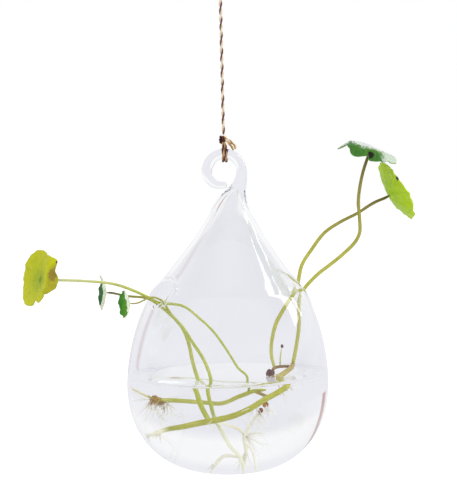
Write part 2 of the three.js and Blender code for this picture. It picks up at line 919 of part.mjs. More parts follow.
addPiece("lower_runner", lowerRunner.body, runnerGreen);
addPiece("upper_runner", upperRunner.body.subtract(leftNode.room), runnerGreen);
addPiece("left_node", leftNode.body, nodeBrown);
addPiece("thin_runner", thinRunner.body.subtract(leftNode.room), paleRoot);
addPiece(
  "runner_link",
  runnerLink.body.subtract(upperRunner.room).subtract(lowerRunner.room),
  runnerGreen,
);
addPiece("crown", crown.body, crownBrown);
addPiece("crown_stem", crownStem.body.subtract(crown.room).subtract(lowerRunner.room), nodeBrown);
addPiece("sprout", sprout.body.subtract(crownStem.room), petioleGreen);
addPiece("sprout_bud", sproutBud.body.subtract(sprout.room), crownBrown);

addPiece("big_petiole", bigPetiole.body.subtract(upperRunner.room), petioleGreen);
addPiece("dark_petiole", darkPetiole.body.subtract(lowerRunner.room), petioleGreen);
addPiece("small_petiole", smallPetiole.body, petioleGreen);
addPiece("lime_petiole", limePetiole.body.subtract(crownStem.room), petioleGreen);
addPiece("umbrella_petiole", umbrellaPetiole.body.subtract(lowerRunner.room), petioleGreen);

addPiece("big_leaf", bigLeaf, bigLeafGreen);
addPiece("dark_leaf", darkLeaf, deepLeafGreen);
addPiece("small_leaf", smallLeaf, deepLeafGreen);
addPiece("umbrella_leaf", umbrellaLeaf, deepLeafGreen);
addPiece("lime_leaf", limeLeaf, limeLeafGreen);

addPiece("upper_nodule", upperNodule.body.subtract(lowerRunner.room), nodeBrown);
addPiece("lower_nodule", lowerNodule.body.subtract(upperNodule.room), nodeBrown);
addPiece("middle_root", middleRoot.body.subtract(lowerNodule.room), paleRoot);
addPiece("arc_root", arcRoot.body.subtract(lowerRunner.room).subtract(middleRoot.room), paleRoot);
addPiece("right_root", rightRoot.body.subtract(middleRoot.room), paleRoot);
addPiece("left_root", leftRoot.body.subtract(smallPetiole.room), paleRoot);

export default planter;
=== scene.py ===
"""A hanging glass planter for water plants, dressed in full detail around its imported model.

Lengths in the tables are millimetres, and become metres where a shape is made. The origin is where
the twine's loop rests on its nail, +Z is up, +X is to the right and +Y is away from the viewer.
"""
import math
import random

import bmesh
import bpy
from mathutils import Matrix, Vector, noise


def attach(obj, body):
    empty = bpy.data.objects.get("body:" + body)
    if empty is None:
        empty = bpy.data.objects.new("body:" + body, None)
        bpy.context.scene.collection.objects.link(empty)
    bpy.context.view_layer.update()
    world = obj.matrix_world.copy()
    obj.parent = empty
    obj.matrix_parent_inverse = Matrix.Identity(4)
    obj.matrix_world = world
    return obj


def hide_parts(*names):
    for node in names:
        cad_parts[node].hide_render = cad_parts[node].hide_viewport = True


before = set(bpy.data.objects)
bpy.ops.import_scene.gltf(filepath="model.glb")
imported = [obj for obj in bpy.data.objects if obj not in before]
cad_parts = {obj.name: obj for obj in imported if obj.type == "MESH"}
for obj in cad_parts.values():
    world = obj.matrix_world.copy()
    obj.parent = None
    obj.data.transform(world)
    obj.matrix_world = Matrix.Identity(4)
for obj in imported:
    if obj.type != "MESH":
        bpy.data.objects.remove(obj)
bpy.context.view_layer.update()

MM = 0.001
DEGREE = math.pi / 180
FULL_TURN = 2 * math.pi

# Camera: 0.9 m in front, level with the hook, tipped down a little and rolled as it was held
CAMERA_PLACE = (1.4, -900, -119.65)
CAMERA_PITCH = 4.0 * DEGREE
CAMERA_ROLL = 1.3 * DEGREE
CAMERA_LENS = 109.36
CAMERA_SENSOR = 36

# Twine and knots
TWINE_RADIUS = 1.0
TWINE_DROP = 87.0
TWINE_PITCH = 9.2
TWINE_RING_STEP = 0.42
TWINE_SIDES = 20
LOOP_HALF_WIDTH = 6.0
LOOP_KNOT_Z = -24.0
LOOP_KNOT_SIZE = 5.6
HOOK_KNOT_HEIGHT = 6.0
HOOK_KNOT_RISE = 8.0
TOUCH = 0.3
TWINE_TOP_Z = LOOP_KNOT_Z - LOOP_KNOT_SIZE / 2 - TOUCH
TWINE_FOOT_Z = TWINE_TOP_Z - TWINE_DROP
HOOK_KNOT_Z = TWINE_FOOT_Z - TOUCH - HOOK_KNOT_HEIGHT / 2

# Blown glass
WALL = 2.0
LEAN = 1.93 * DEGREE
FLAT_RADIUS = 14.0
BELLY_RADIUS = 60.1
BELLY_HEIGHT = 51.5
SHOULDER_RADIUS = 45.1
SHOULDER_HEIGHT = 107.8
SHOULDER_SLOPE = 0.62
SHOULDER_REACH = 14
NECK_RADIUS = 11.6
NECK_HEIGHT = 153.5
NECK_SLOPE = 0.62
NECK_REACH = 12.5
HOLLOW_TOP = 168.0
RING_HEIGHT = 178.3
RING_RADIUS = 10.45
RING_OFFSET = 2.6
ROD = 6.3
ROD_TIP = 4.0
ROD_Z = HOOK_KNOT_Z - HOOK_KNOT_RISE
RING_Z = ROD_Z - RING_RADIUS
BASE_Z = RING_Z - RING_HEIGHT
BASE_X = RING_OFFSET - math.tan(LEAN) * NECK_HEIGHT
BULB_FRAME = Matrix.Translation((BASE_X, 0, BASE_Z)) @ Matrix.Rotation(LEAN, 4, "Y")

# The skin joins the drawn neck at JOIN_HEIGHT. Neck rings are level: (height, place of the centre
# across, width). Curl rings are on the hook: (turn round its eye, distance in from its circle,
# width).
JOIN_HEIGHT = 116
NECK_FOOT = 144
NECK_RINGS = [
    (146.1, 2.7, 33.4), (150.9, 2.85, 27.8), (153.8, 2.75, 24.2), (157.0, 2.95, 21.2),
    (160.4, 3.6, 18.4), (163.5, 4.6, 15.6), (166.5, 6.2, 12.7), (169.4, 8.1, 9.7),
    (172.6, 9.4, 7.6), (175.8, 10.2, 6.5),
]
CURL = [
    (0, 0, ROD - 0.3),
    *((turn, 0, ROD) for turn in (30, 60, 90, 120, 150, 180)),
    (205, 0.2, ROD - 0.4), (230, 0.8, ROD - 1.1), (252, 1.7, ROD_TIP + 0.6),
    (264, 2.1, ROD_TIP + 0.2), (270, 2.2, ROD_TIP), (275, 2.25, ROD_TIP - 0.6),
    (279, 2.3, ROD_TIP - 1.8), (281, 2.3, ROD_TIP - 3),
]
SWEEP_STEP = 0.7
BLUNT_RINGS = 12
SMOOTHING = 14

# Side openings: (turn round the bulb, length)
OPENING_WIDTH = 26.0
LEFT_OPENING = (205.0, 20.4)
RIGHT_OPENING = (18.0, 25.0)
RIM = 3.4
RIM_SWELL = 0.06
RIM_STEPS = 96

# Water: its edge climbs the wall in small steps of (width, drop)
WATER_HEIGHT = 58.9
WATER_Z = BASE_Z + WATER_HEIGHT
WATER_GAP = 0.05
MENISCUS = [(0.2, 0.75), (0.3, 0.6), (0.45, 0.5), (0.7, 0.4), (1.1, 0.25), (1.6, 0.1)]
MENISCUS_SINK = 1.4
WATERLINE_Z = WATER_Z + sum(drop for _, drop in MENISCUS) - MENISCUS_SINK

# Plant
PETIOLE = 2.0
THICK_RUNNER = 3.2
THIN_RUNNER = 2.1
STEM_STEP = 0.8
SEAT_SLACK = 0.2
SQUARE_STRETCH = 2.5
BLADE = 0.6
BLADE_LIFT = 0.05
LEAF_CORNERS = 176
LEAF_RINGS = 20
LEAF_TRIM = 0.985
LEAF_VEINS = 9
VEIN_WANDER = 0.22

# Light rays give up on the glass after this many turns
MOST_TURNS = 5.0


def set_camera():
    pitch, roll = CAMERA_PITCH, CAMERA_ROLL
    ahead = Vector((0, math.cos(pitch), -math.sin(pitch)))
    flat_right = Vector((1, 0, 0))
    flat_up = Vector((0, math.sin(pitch), math.cos(pitch)))
    right = flat_right * math.cos(roll) - flat_up * math.sin(roll)
    up = flat_up * math.cos(roll) + flat_right * math.sin(roll)
    bpy.ops.object.camera_add()
    camera = bpy.context.object
    turned = Matrix((right, up, -ahead)).transposed().to_4x4()
    camera.matrix_world = Matrix.Translation(Vector(CAMERA_PLACE) * MM) @ turned
    camera.data.lens = CAMERA_LENS
    camera.data.sensor_width = CAMERA_SENSOR
    camera.data.clip_end = 20
    bpy.context.scene.camera = camera


set_camera()


# Making and shaping
def deselect():
    if bpy.context.object and bpy.context.object.mode != "OBJECT":
        bpy.ops.object.mode_set(mode="OBJECT")
    bpy.ops.object.select_all(action="DESELECT")


def pick(piece):
    deselect()
    piece.select_set(True)
    bpy.context.view_layer.objects.active = piece


def close_up(piece, gap=1e-6):
    """Merges doubled points and turns the faces outwards."""
    mesh = bmesh.new()
    mesh.from_mesh(piece.data)
    bmesh.ops.remove_doubles(mesh, verts=mesh.verts, dist=gap)
    bmesh.ops.recalc_face_normals(mesh, faces=mesh.faces)
    if mesh.calc_volume(signed=True) < 0:
        bmesh.ops.reverse_faces(mesh, faces=mesh.faces)
    mesh.to_mesh(piece.data)
    mesh.free()


def apply_modifiers(piece):
    pick(piece)
    for modifier in list(piece.modifiers):
        bpy.ops.object.modifier_apply(modifier=modifier.name)


def cut_level(piece, height, **how):
    """Cuts the piece at a height, and caps it or clears a side as asked."""
    pick(piece)
    bpy.ops.object.mode_set(mode="EDIT")
    bpy.ops.mesh.select_all(action="SELECT")
    bpy.ops.mesh.bisect(plane_co=(0, 0, height * MM), plane_no=(0, 0, 1), **how)
    bpy.ops.mesh.select_all(action="DESELECT")
    bpy.ops.object.mode_set(mode="OBJECT")


def dress(piece, body, looks, nodes=(), crease=None):
    """Gives a finished piece its looks, its smooth shading where asked and its body, and hides the
    model's solids that it stands for.
    """
    finishes = [face.material_index for face in piece.data.polygons]
    piece.data.materials.clear()
    for look in looks:
        piece.data.materials.append(look)
    for face, index in zip(piece.data.polygons, finishes):
        face.material_index = index
    if crease:
        pick(piece)
        bpy.ops.object.shade_smooth_by_angle(angle=crease * DEGREE)
    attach(piece, body)
    if nodes:
        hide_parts(*nodes)


class Route:
    """A smooth line through listed points, as a stem grows or a rod is drawn."""

    STEPS = 200

    def __init__(self, places):
        self.places = [Vector(place) for place in places]
        self.runs = [0.0]
        last = self.point(0.0)
        for i in range(1, self.STEPS + 1):
            here = self.point(i / self.STEPS)
            self.runs.append(self.runs[-1] + (here - last).length)
            last = here

    def point(self, t):
        places = self.places
        whole = min(max(t, 0.0), 1.0) * (len(places) - 1)
        i = min(int(whole), len(places) - 2)
        weight = whole - i
        p1, p2 = places[i], places[i + 1]
        p0 = places[i - 1] if i > 0 else p1 * 2 - p2
        p3 = places[i + 2] if i + 2 < len(places) else p2 * 2 - p1
        spans = ((p0, p1), (p1, p2), (p2, p3))
        d0, d1, d2 = (max((b - a).length, 1e-8) ** 0.5 for a, b in spans)
        start = ((p1 - p0) / d0 - (p2 - p0) / (d0 + d1) + (p2 - p1) / d1) * d1
        end = ((p2 - p1) / d1 - (p3 - p1) / (d1 + d2) + (p3 - p2) / d2) * d1
        square, cube = weight**2, weight**3
        return (
            p1
            + start * weight
            + (p2 * 3 - p1 * 3 - start * 2 - end) * square
            + (p1 * 2 - p2 * 2 + start + end) * cube
        )

    def share(self, u):
        """Where the line has run the share u of its length."""
        target = min(max(u, 0.0), 1.0) * self.runs[-1]
        for i in range(self.STEPS):
            if self.runs[i + 1] >= target:
                stretch = self.runs[i + 1] - self.runs[i]
                return (i + (target - self.runs[i]) / max(stretch, 1e-12)) / self.STEPS
        return 1.0

    def at(self, u):
        return self.point(self.share(u))

    def length(self):
        return self.runs[-1]


def spread(values, t):
    """A value from a row of values that are spread evenly from 0 to 1."""
    along = min(max(t, 0.0), 1.0) * (len(values) - 1)
    i = min(int(along), len(values) - 2)
    return values[i] + (values[i + 1] - values[i]) * (along - i)


def skin_rings(mesh, rings):
    """Walls between rings that have the same number of corners."""
    faces = []
    for low, high in zip(rings, rings[1:]):
        for k in range(len(low)):
            after = (k + 1) % len(low)
            faces.append(mesh.faces.new((low[k], low[after], high[after], high[k])))
    return faces


def place_mesh(name, mesh):
    data = bpy.data.meshes.new(name)
    mesh.to_mesh(data)
    mesh.free()
    piece = bpy.data.objects.new(name, data)
    bpy.context.scene.collection.objects.link(piece)
    return piece


def tube(name, splines, sides=12, closed=False):
    """One mesh of round tubes. Each spline is a list of (point, radius), in millimetres."""
    deselect()
    bpy.ops.curve.primitive_bezier_curve_add()
    piece = bpy.context.object
    piece.name = name
    line = piece.data
    line.splines.clear()
    line.dimensions = "3D"
    for spline in splines:
        run = line.splines.new("POLY")
        run.points.add(len(spline) - 1)
        for spot, (place, radius) in zip(run.points, spline):
            spot.co = (*(Vector(place) * MM), 1)
            spot.radius = radius * MM
        run.use_cyclic_u = closed
    line.bevel_depth = 1.0
    line.bevel_resolution = (sides - 4) // 2
    line.use_fill_caps = not closed
    pick(piece)
    bpy.ops.object.convert(target="MESH")
    piece = bpy.context.object
    close_up(piece)
    return piece


# Materials
class Nodes:
    """A node tree, with short ways to add what the finishes share."""

    def __init__(self, tree):
        self.tree = tree

    def put(self, socket, value):
        """Sets an input to a number, a colour or another node's output."""
        if isinstance(value, bpy.types.NodeSocket):
            self.tree.links.new(value, socket)
        elif socket.type == "RGBA":
            socket.default_value = (*value, 1)
        else:
            socket.default_value = value

    def add(self, kind, *values, **settings):
        """Adds a node. Values go to its inputs in order, and in_X goes to the input named X."""
        node = self.tree.nodes.new("ShaderNode" + kind)
        for name, value in settings.items():
            if name.startswith("in_"):
                self.put(node.inputs[name[3:]], value)
            else:
                setattr(node, name, value)
        for socket, value in zip(node.inputs, values):
            self.put(socket, value)
        return node

    def math(self, operation, *values, clamp=False):
        return self.add("Math", *values, operation=operation, use_clamp=clamp).outputs[0]

    def times(self, first, second):
        return self.math("MULTIPLY", first, second)

    def scaled(self, value, factor, offset, clamp=False):
        return self.math("MULTIPLY_ADD", value, factor, offset, clamp=clamp)

    def gap(self, first, second):
        return self.math("ABSOLUTE", self.math("SUBTRACT", first, second))

    def distance(self, across, along):
        squares = self.times(across, across), self.times(along, along)
        return self.math("SQRT", self.math("ADD", *squares))

    def blend(self, share, first, second):
        node = self.add("Mix", data_type="RGBA")
        for index, value in ((0, share), (6, first), (7, second)):
            self.put(node.inputs[index], value)
        return node.outputs[2]

    def speckle(self, scale, detail=3.0, roughness=0.55):
        """Noise on the piece's own place, in lumps of about 1/scale millimetres."""
        place = self.add("TexCoord").outputs["Object"]
        mapping = self.add("Mapping", in_Vector=place, in_Scale=(1 / MM,) * 3)
        return self.add(
            "TexNoise", in_Vector=mapping.outputs[0], in_Scale=scale, in_Detail=detail,
            in_Roughness=roughness,
        ).outputs[0]

    def parts(self, vector):
        return self.add("SeparateXYZ", vector).outputs

    def marking(self, name):
        """A piece's own flat coordinates, which its pattern follows."""
        return self.add("UVMap", uv_map=name).outputs[0]

    def bump(self, shader, height, strength, distance):
        node = self.add("Bump", in_Strength=strength, in_Distance=distance * MM, in_Height=height)
        self.put(shader.inputs["Normal"], node.outputs[0])

    def seen_in_glass(self):
        """1 for rays that glass has bent or mirrored."""
        path = self.add("LightPath").outputs
        return self.math("MAXIMUM", path["Is Glossy Ray"], path["Is Transmission Ray"])


def new_material(name, **settings):
    """A material with its nodes and its shader. Settings are the same all over the surface."""
    material = bpy.data.materials.new(name)
    material.use_nodes = True
    nodes = Nodes(material.node_tree)
    shader = material.node_tree.nodes["Principled BSDF"]
    for socket, value in settings.items():
        nodes.put(shader.inputs[socket.replace("_", " ")], value)
    return material, nodes, shader


def twine_material(name, brown, cream, sheen=0.25):
    """Two plies, brown and cream, with dark fibres laid along them. The brown is the twine's own
    tone deepened by painted shade and the cream its own tone lifted by painted light, as a twist
    looks in side light.
    """
    material, nodes, shader = new_material(
        name, Roughness=0.92, Sheen_Weight=sheen, Sheen_Roughness=0.5
    )
    twist = nodes.parts(nodes.marking("twist"))
    ply = nodes.math("COSINE", nodes.times(twist[0], FULL_TURN))
    run = nodes.add("CombineXYZ", nodes.times(twist[0], 14.0), nodes.times(twist[1], 2.2))
    fibres = nodes.add("TexNoise", in_Vector=run.outputs[0], in_Scale=1.6, in_Detail=4.0).outputs[0]
    edge = nodes.scaled(nodes.speckle(0.35, detail=2.0), 1.4, -0.7)
    # Which ply faces out picks brown or cream: painted shade on one ply's turns and painted light
    # on the other's.
    side = nodes.math("ADD", nodes.times(ply, 1.6), edge)
    colour = nodes.blend(nodes.scaled(side, 0.5, 0.5, clamp=True), brown, cream)
    dark = tuple(part * 0.45 for part in brown)
    streak = nodes.scaled(fibres, 3.2, -1.45, clamp=True)
    colour = nodes.blend(nodes.times(streak, 0.55), colour, dark)
    nodes.put(shader.inputs["Base Color"], colour)
    nodes.bump(shader, fibres, 0.9, 0.25)
    return material


def stalk_material(
    name, colour, shade, tip=None, tip_from=0.0, spots=None, end=None, end_from=1.0,
    roughness=0.38, glow=0.15,
):
    """A plant stem: two greens in long soft streaks, with ends of their own colour and spots."""
    material, nodes, shader = new_material(
        name, Roughness=roughness, Subsurface_Weight=glow, Subsurface_Scale=1.0,
        Subsurface_Radius=(0.0012, 0.0012, 0.0005),
    )
    share = nodes.scaled(nodes.speckle(0.12, detail=2.0), 2.6, -0.8, clamp=True)
    result = nodes.blend(share, colour, shade)
    along, around = nodes.parts(nodes.marking("UVMap"))[:2]
    if tip:
        before = nodes.math("SUBTRACT", tip_from, along)
        fade = nodes.math("MULTIPLY", before, 2.5 / tip_from, clamp=True)
        result = nodes.blend(fade, result, tip)
    if end:
        past = nodes.math("SUBTRACT", along, end_from)
        fade = nodes.math("MULTIPLY", past, 1 / (1 - end_from), clamp=True)
        result = nodes.blend(fade, result, end)
    if spots:
        mask = nodes.scaled(nodes.speckle(0.9, detail=1.0), 9.0, -6.1, clamp=True)
        result = nodes.blend(nodes.times(mask, 0.7), result, spots)
    nodes.put(shader.inputs["Base Color"], result)
    ridges = nodes.math("SINE", nodes.times(around, FULL_TURN * 11))
    grain = nodes.scaled(nodes.speckle(0.8), 1.2, nodes.times(ridges, 0.18))
    nodes.bump(shader, grain, 0.5, 0.12)
    return material


def lump_material(name, dark, light):
    """A knob's skin: two browns in flakes."""
    material, nodes, shader = new_material(name, Roughness=0.6)
    flakes = nodes.speckle(0.9, detail=5.0, roughness=0.65)
    share = nodes.scaled(flakes, 4.0, -1.6, clamp=True)
    nodes.put(shader.inputs["Base Color"], nodes.blend(share, dark, light))
    nodes.bump(shader, flakes, 0.8, 0.3)
    return material


def leaf_material(
    name, middle, edge, vein, veins=LEAF_VEINS, marks=(), flap=None, vein_show=0.5, roughness=0.42
):
    """A round leaf: veins from the stalk's tip outwards that fork, crinkled skin between them.

    Each mark is (across, along, reach across, reach along, colour), in shares of the leaf's
    radius. The flap is (where it starts, colour).
    """
    material, nodes, shader = new_material(
        name, Roughness=roughness, Specular_IOR_Level=0.25, Subsurface_Weight=0.12,
        Subsurface_Scale=1.0, Subsurface_Radius=(0.001, 0.0012, 0.0004),
    )
    centred = nodes.add(
        "Mapping", in_Vector=nodes.marking("flat"), in_Location=(-1, -1, 0), in_Scale=(2, 2, 1)
    ).outputs[0]
    wander = nodes.add("TexNoise", in_Vector=centred, in_Scale=2.2, in_Detail=2.0).outputs["Color"]
    shifted = nodes.add(
        "VectorMath", wander, (VEIN_WANDER,) * 3, centred, operation="MULTIPLY_ADD"
    ).outputs[0]
    x, y = (nodes.math("SUBTRACT", part, VEIN_WANDER / 2) for part in nodes.parts(shifted)[:2])
    turn = nodes.math("ARCTAN2", y, x)
    reach = nodes.distance(x, y)

    def vein_lines(count, width, start):
        wave = nodes.math("ABSOLUTE", nodes.math("SINE", nodes.times(turn, count / 2)))
        line = nodes.scaled(nodes.times(wave, reach), -1 / width, 1.0, clamp=True)
        return nodes.times(line, nodes.scaled(reach, 6.0, -6.0 * start, clamp=True))

    forks = nodes.times(vein_lines(veins * 3, 0.05, 0.45), 0.6)
    lines = nodes.math("MAXIMUM", vein_lines(veins, 0.07, 0.0), forks)
    cells = nodes.add(
        "TexVoronoi", feature="DISTANCE_TO_EDGE", in_Vector=shifted, in_Scale=11.0
    ).outputs["Distance"]
    fine = nodes.times(nodes.scaled(cells, -14.0, 1.0, clamp=True), 0.35)
    lines = nodes.math("MAXIMUM", lines, fine)
    share = nodes.scaled(nodes.speckle(0.22), 1.6, nodes.scaled(reach, 1.6, -1.35), clamp=True)
    colour = nodes.blend(share, middle, edge)
    colour = nodes.blend(nodes.times(lines, vein_show), colour, vein)
    plain = nodes.parts(centred)
    grain = nodes.scaled(nodes.speckle(0.6), 1.4, -0.7)
    if flap:
        past = nodes.scaled(plain[0], 14.0, -14.0 * flap[0], clamp=True)
        colour = nodes.blend(past, colour, flap[1])
    for across, along, wide, tall, mark in marks:
        off_across = nodes.scaled(plain[0], 1 / wide, -across / wide)
        off_along = nodes.scaled(plain[1], 1 / tall, -along / tall)
        far = nodes.math("ADD", nodes.distance(off_across, off_along), grain)
        colour = nodes.blend(nodes.scaled(far, -3.0, 3.6, clamp=True), colour, mark)
    nodes.put(shader.inputs["Base Color"], colour)
    nodes.bump(shader, nodes.scaled(nodes.speckle(0.5), 0.8, nodes.times(lines, -0.8)), 0.6, 0.35)
    return material


def clear_material(name, tint, ior, ripple=None):
    """Clear glass or water that lets the lamps' light through to what it holds."""
    material, nodes, shader = new_material(
        name, Base_Color=tint, Transmission_Weight=1.0, Roughness=0.0, IOR=ior
    )
    if ripple:
        scale, height = ripple
        nodes.bump(shader, nodes.speckle(scale, detail=1.0), 1.0, height)
    path = nodes.add("LightPath").outputs
    passing = nodes.math("MAXIMUM", path["Is Shadow Ray"], path["Is Diffuse Ray"])
    caught = nodes.math("GREATER_THAN", path["Ray Depth"], MOST_TURNS)
    passing = nodes.math("MAXIMUM", passing, caught)
    through = nodes.add("BsdfTransparent", (0.98, 0.98, 0.985))
    mixed = nodes.add("MixShader", passing, shader.outputs[0], through.outputs[0])
    nodes.put(material.node_tree.nodes["Material Output"].inputs["Surface"], mixed.outputs[0])
    return material


# Twine
def strand_mesh(name, runs, radius=TWINE_RADIUS, pitch=TWINE_PITCH):
    """Two-ply twine along runs of (points, phase, taper). UV is (turn of the plies, length)."""
    mesh = bmesh.new()
    layer = mesh.loops.layers.uv.new("twist")
    sides = TWINE_SIDES
    for places, phase, *taper in runs:
        route = Route(places)
        count = max(6, int(route.length() / TWINE_RING_STEP))
        centres = [route.at(i / count) for i in range(count + 1)]
        normal = None
        rings = []
        for i, centre in enumerate(centres):
            ahead = centres[min(i + 1, count)] - centres[max(i - 1, 0)]
            ahead.normalize()
            if normal is None:
                normal = ahead.orthogonal().normalized()
            normal = (normal - ahead * normal.dot(ahead)).normalized()
            across = ahead.cross(normal)
            lay = phase + FULL_TURN * route.length() * i / count / pitch
            size = radius * (spread(taper[0], i / count) if taper else 1.0)
            size *= 1 + 0.13 * noise.noise(centre * 0.55)
            ring = []
            for k in range(sides):
                turn = FULL_TURN * k / sides
                lobe = max(abs(math.cos(turn)) ** 0.8, 0.42)
                aim = turn + lay
                out = (normal * math.cos(aim) + across * math.sin(aim)) * size * lobe
                ring.append(mesh.verts.new((centre + out) * MM))
            rings.append(ring)
        for index, face in enumerate(skin_rings(mesh, rings)):
            i, k = divmod(index, sides)
            face.smooth = True
            corners = ((k, i), (k + 1, i), (k + 1, i + 1), (k, i + 1))
            for loop, (u, v) in zip(face.loops, corners):
                loop[layer].uv = (u / sides, route.length() * v / count / pitch)
        for ring in (list(reversed(rings[0])), rings[-1]):
            mesh.faces.new(ring)
    return place_mesh(name, mesh)


def coil(centre, width, depth, height, turns, radius, lean=0.0, start=0.0, steps=26):
    """The turns of a pulled-tight knot, wound over each other on a small egg shape."""
    places = []
    for i in range(int(turns * steps) + 1):
        turn = start + FULL_TURN * i / steps
        rise = 1 - 2 * i / (turns * steps)
        belt = math.sqrt(max(0.12, 1 - (rise * 0.86) ** 2))
        x = (width / 2 - radius) * belt * math.cos(turn)
        y = (depth / 2 - radius) * belt * math.sin(turn)
        z = (height / 2 - radius) * rise + lean * x
        places.append(Vector((x, y, z)) + Vector(centre))
    return places


LOOP_SIDE = [
    (TWINE_RADIUS * 1.2, 0, LOOP_KNOT_Z + LOOP_KNOT_SIZE * 0.2),
    *(
        (LOOP_HALF_WIDTH * out, 0, LOOP_KNOT_Z * down)
        for out, down in ((0.45, 0.7), (0.95, 0.36), (0.8, 0.1))
    ),
]
LOOP_ROUTE = [*((-x, y, z) for x, y, z in LOOP_SIDE), (0, 0, TWINE_RADIUS), *reversed(LOOP_SIDE)]
TWINE_ROUTE = [
    (0, 0, TWINE_TOP_Z),
    (0, 0, TWINE_TOP_Z - TWINE_DROP * 0.33),
    (0, 0, TWINE_TOP_Z - TWINE_DROP * 0.67),
    (0, 0, TWINE_FOOT_Z),
]
WRAP_RADIUS = ROD / 2 + 0.5 + 0.95
WRAP_Z = ROD_Z + 0.5 - TOUCH


def wrap_route(x):
    """Out of the knot, once round under the glass rod, and back into the knot."""
    knot_foot = HOOK_KNOT_Z - HOOK_KNOT_HEIGHT * 0.25
    side = WRAP_Z + WRAP_RADIUS * 0.75
    turns = [turn * DEGREE for turn in (-15, -45, -68, -90, -112, -135, -165)]
    return [
        (x * 0.35, 1.3, knot_foot),
        (x * 0.8, 3.4, side),
        *((x, WRAP_RADIUS * math.cos(a), WRAP_Z + WRAP_RADIUS * math.sin(a)) for a in turns),
        (x * 0.8, -3.4, side),
        (x * 0.35, -1.3, knot_foot),
    ]


def from_knot(*places):
    return [(x, y, HOOK_KNOT_Z + z) for x, y, z in places]


def make_twine():
    top = (0, 0, LOOP_KNOT_Z)
    foot = (-0.8, 0, HOOK_KNOT_Z)
    loop = strand_mesh("nail_loop_twine", [(LOOP_ROUTE, 0.0)])
    loop_knot = strand_mesh(
        "loop_knot_turns",
        [
            (coil(top, 5.6, 5.6, 5.6, 2.6, 1.0), 1.0),
            (coil(top, 5.0, 5.4, 5.0, 1.1, 1.0, lean=0.7, start=2.0), 0.0),
        ],
    )
    twine = strand_mesh("hanging_twine", [(TWINE_ROUTE, 0.0)])
    hook_knot = strand_mesh(
        "hook_knot_turns",
        [
            (coil(foot, 4.3, 4.8, 6.0, 2.9, 0.95, start=0.6), 0.4),
            (coil(foot, 3.9, 4.8, 5.4, 1.2, 0.95, lean=-0.8, start=2.4), 2.0),
        ],
    )
    wrap = strand_mesh(
        "hook_wrap_turns", [(wrap_route(-0.45), 0.8), (wrap_route(1.25), 2.1)], radius=0.9
    )
    long_end = from_knot(
        (0.3, -1.0, 2.2), (1.9, -1.6, 0.9), (4.6, -2.6, -1.7), (6.7, -3.3, -3.4), (7.1, -3.5, -5.4)
    )
    short_end = from_knot((0.9, -0.8, 0.2), (2.6, -1.8, -1.4), (4.5, -2.9, -3.8), (6.0, -3.5, -5.8))
    tail = strand_mesh(
        "twine_tail_end",
        [(long_end, 0.0, [0.75, 0.95, 1.1, 1.05, 0.8]), (short_end, 1.3, [0.8, 1.0, 1.2, 1.0])],
        radius=0.85,
        pitch=8.5,
    )
    # Each look's brown ply carries painted shade and its cream ply painted light, over the twine's
    # own tones.
    twine_look = twine_material("two_ply_twine", (0.11, 0.032, 0.017), (0.80, 0.64, 0.47))
    knot_look = twine_material(
        "pulled_knot_twine", (0.035, 0.003, 0.002), (0.09, 0.018, 0.01), 0.05
    )
    wrap_look = twine_material("hook_wrap_twine", (0.06, 0.007, 0.004), (0.50, 0.30, 0.14), 0.1)
    tail_look = twine_material("golden_twine_end", (0.36, 0.19, 0.05), (0.82, 0.66, 0.42))
    dress(loop, "nail_loop", [twine_look], ["hanging_loop"])
    dress(loop_knot, "top_knot", [knot_look], ["loop_knot"])
    dress(twine, "twine_drop", [twine_look], ["twine"])
    dress(hook_knot, "hook_tie", [knot_look], ["hook_knot"])
    dress(wrap, "hook_tie", [wrap_look], ["hook_wrap"])
    dress(tail, "hook_tie", [tail_look], ["twine_tail"])


make_twine()


# Blown vase
def curve_part(p0, p1, p2, p3, count):
    made = []
    for i in range(count):
        t = i / count
        s = 1 - t
        made.append(
            Vector(p0) * s**3 + Vector(p1) * 3 * s * s * t + Vector(p2) * 3 * s * t * t
            + Vector(p3) * t**3
        )
    return made


BELLY = (BELLY_RADIUS, BELLY_HEIGHT)
SHOULDER = (SHOULDER_RADIUS, SHOULDER_HEIGHT)
UNDER_SHOULDER = (
    SHOULDER_RADIUS + SHOULDER_SLOPE * SHOULDER_REACH, SHOULDER_HEIGHT - SHOULDER_REACH
)
OVER_SHOULDER = (
    SHOULDER_RADIUS - SHOULDER_SLOPE * SHOULDER_REACH, SHOULDER_HEIGHT + SHOULDER_REACH * 0.66
)
UNDER_NECK = (NECK_RADIUS + NECK_SLOPE * NECK_REACH, NECK_HEIGHT - NECK_REACH)
NECK = (NECK_RADIUS, NECK_HEIGHT)
OUTLINE = [
    *curve_part(
        (FLAT_RADIUS, 0), (FLAT_RADIUS + 30, 2), (BELLY_RADIUS, BELLY_HEIGHT - 27.5), BELLY, 36
    ),
    *curve_part(BELLY, (BELLY_RADIUS, BELLY_HEIGHT + 20), UNDER_SHOULDER, SHOULDER, 26),
    *curve_part(SHOULDER, OVER_SHOULDER, UNDER_NECK, NECK, 26),
    Vector(NECK),
]


def set_in(distance):
    """The bulb's outline moved inwards."""
    moved = []
    for i, here in enumerate(OUTLINE):
        before = OUTLINE[max(i - 1, 0)]
        after = OUTLINE[min(i + 1, len(OUTLINE) - 1)]
        along = (after - before).normalized()
        moved.append(Vector((here.x - along.y * distance, here.y + along.x * distance)))
    return moved


def radius_at(profile, height):
    for last, here in zip(profile, profile[1:]):
        if here.y >= height:
            return last.x + (here.x - last.x) * (height - last.y) / (here.y - last.y)
    return profile[-1].x


def on_axis(height):
    return BULB_FRAME @ Vector((0, 0, height))


def curl_place(turn, inset):
    out = RING_RADIUS - inset
    return Vector((out * math.cos(turn * DEGREE), 0, RING_Z + out * math.sin(turn * DEGREE)))


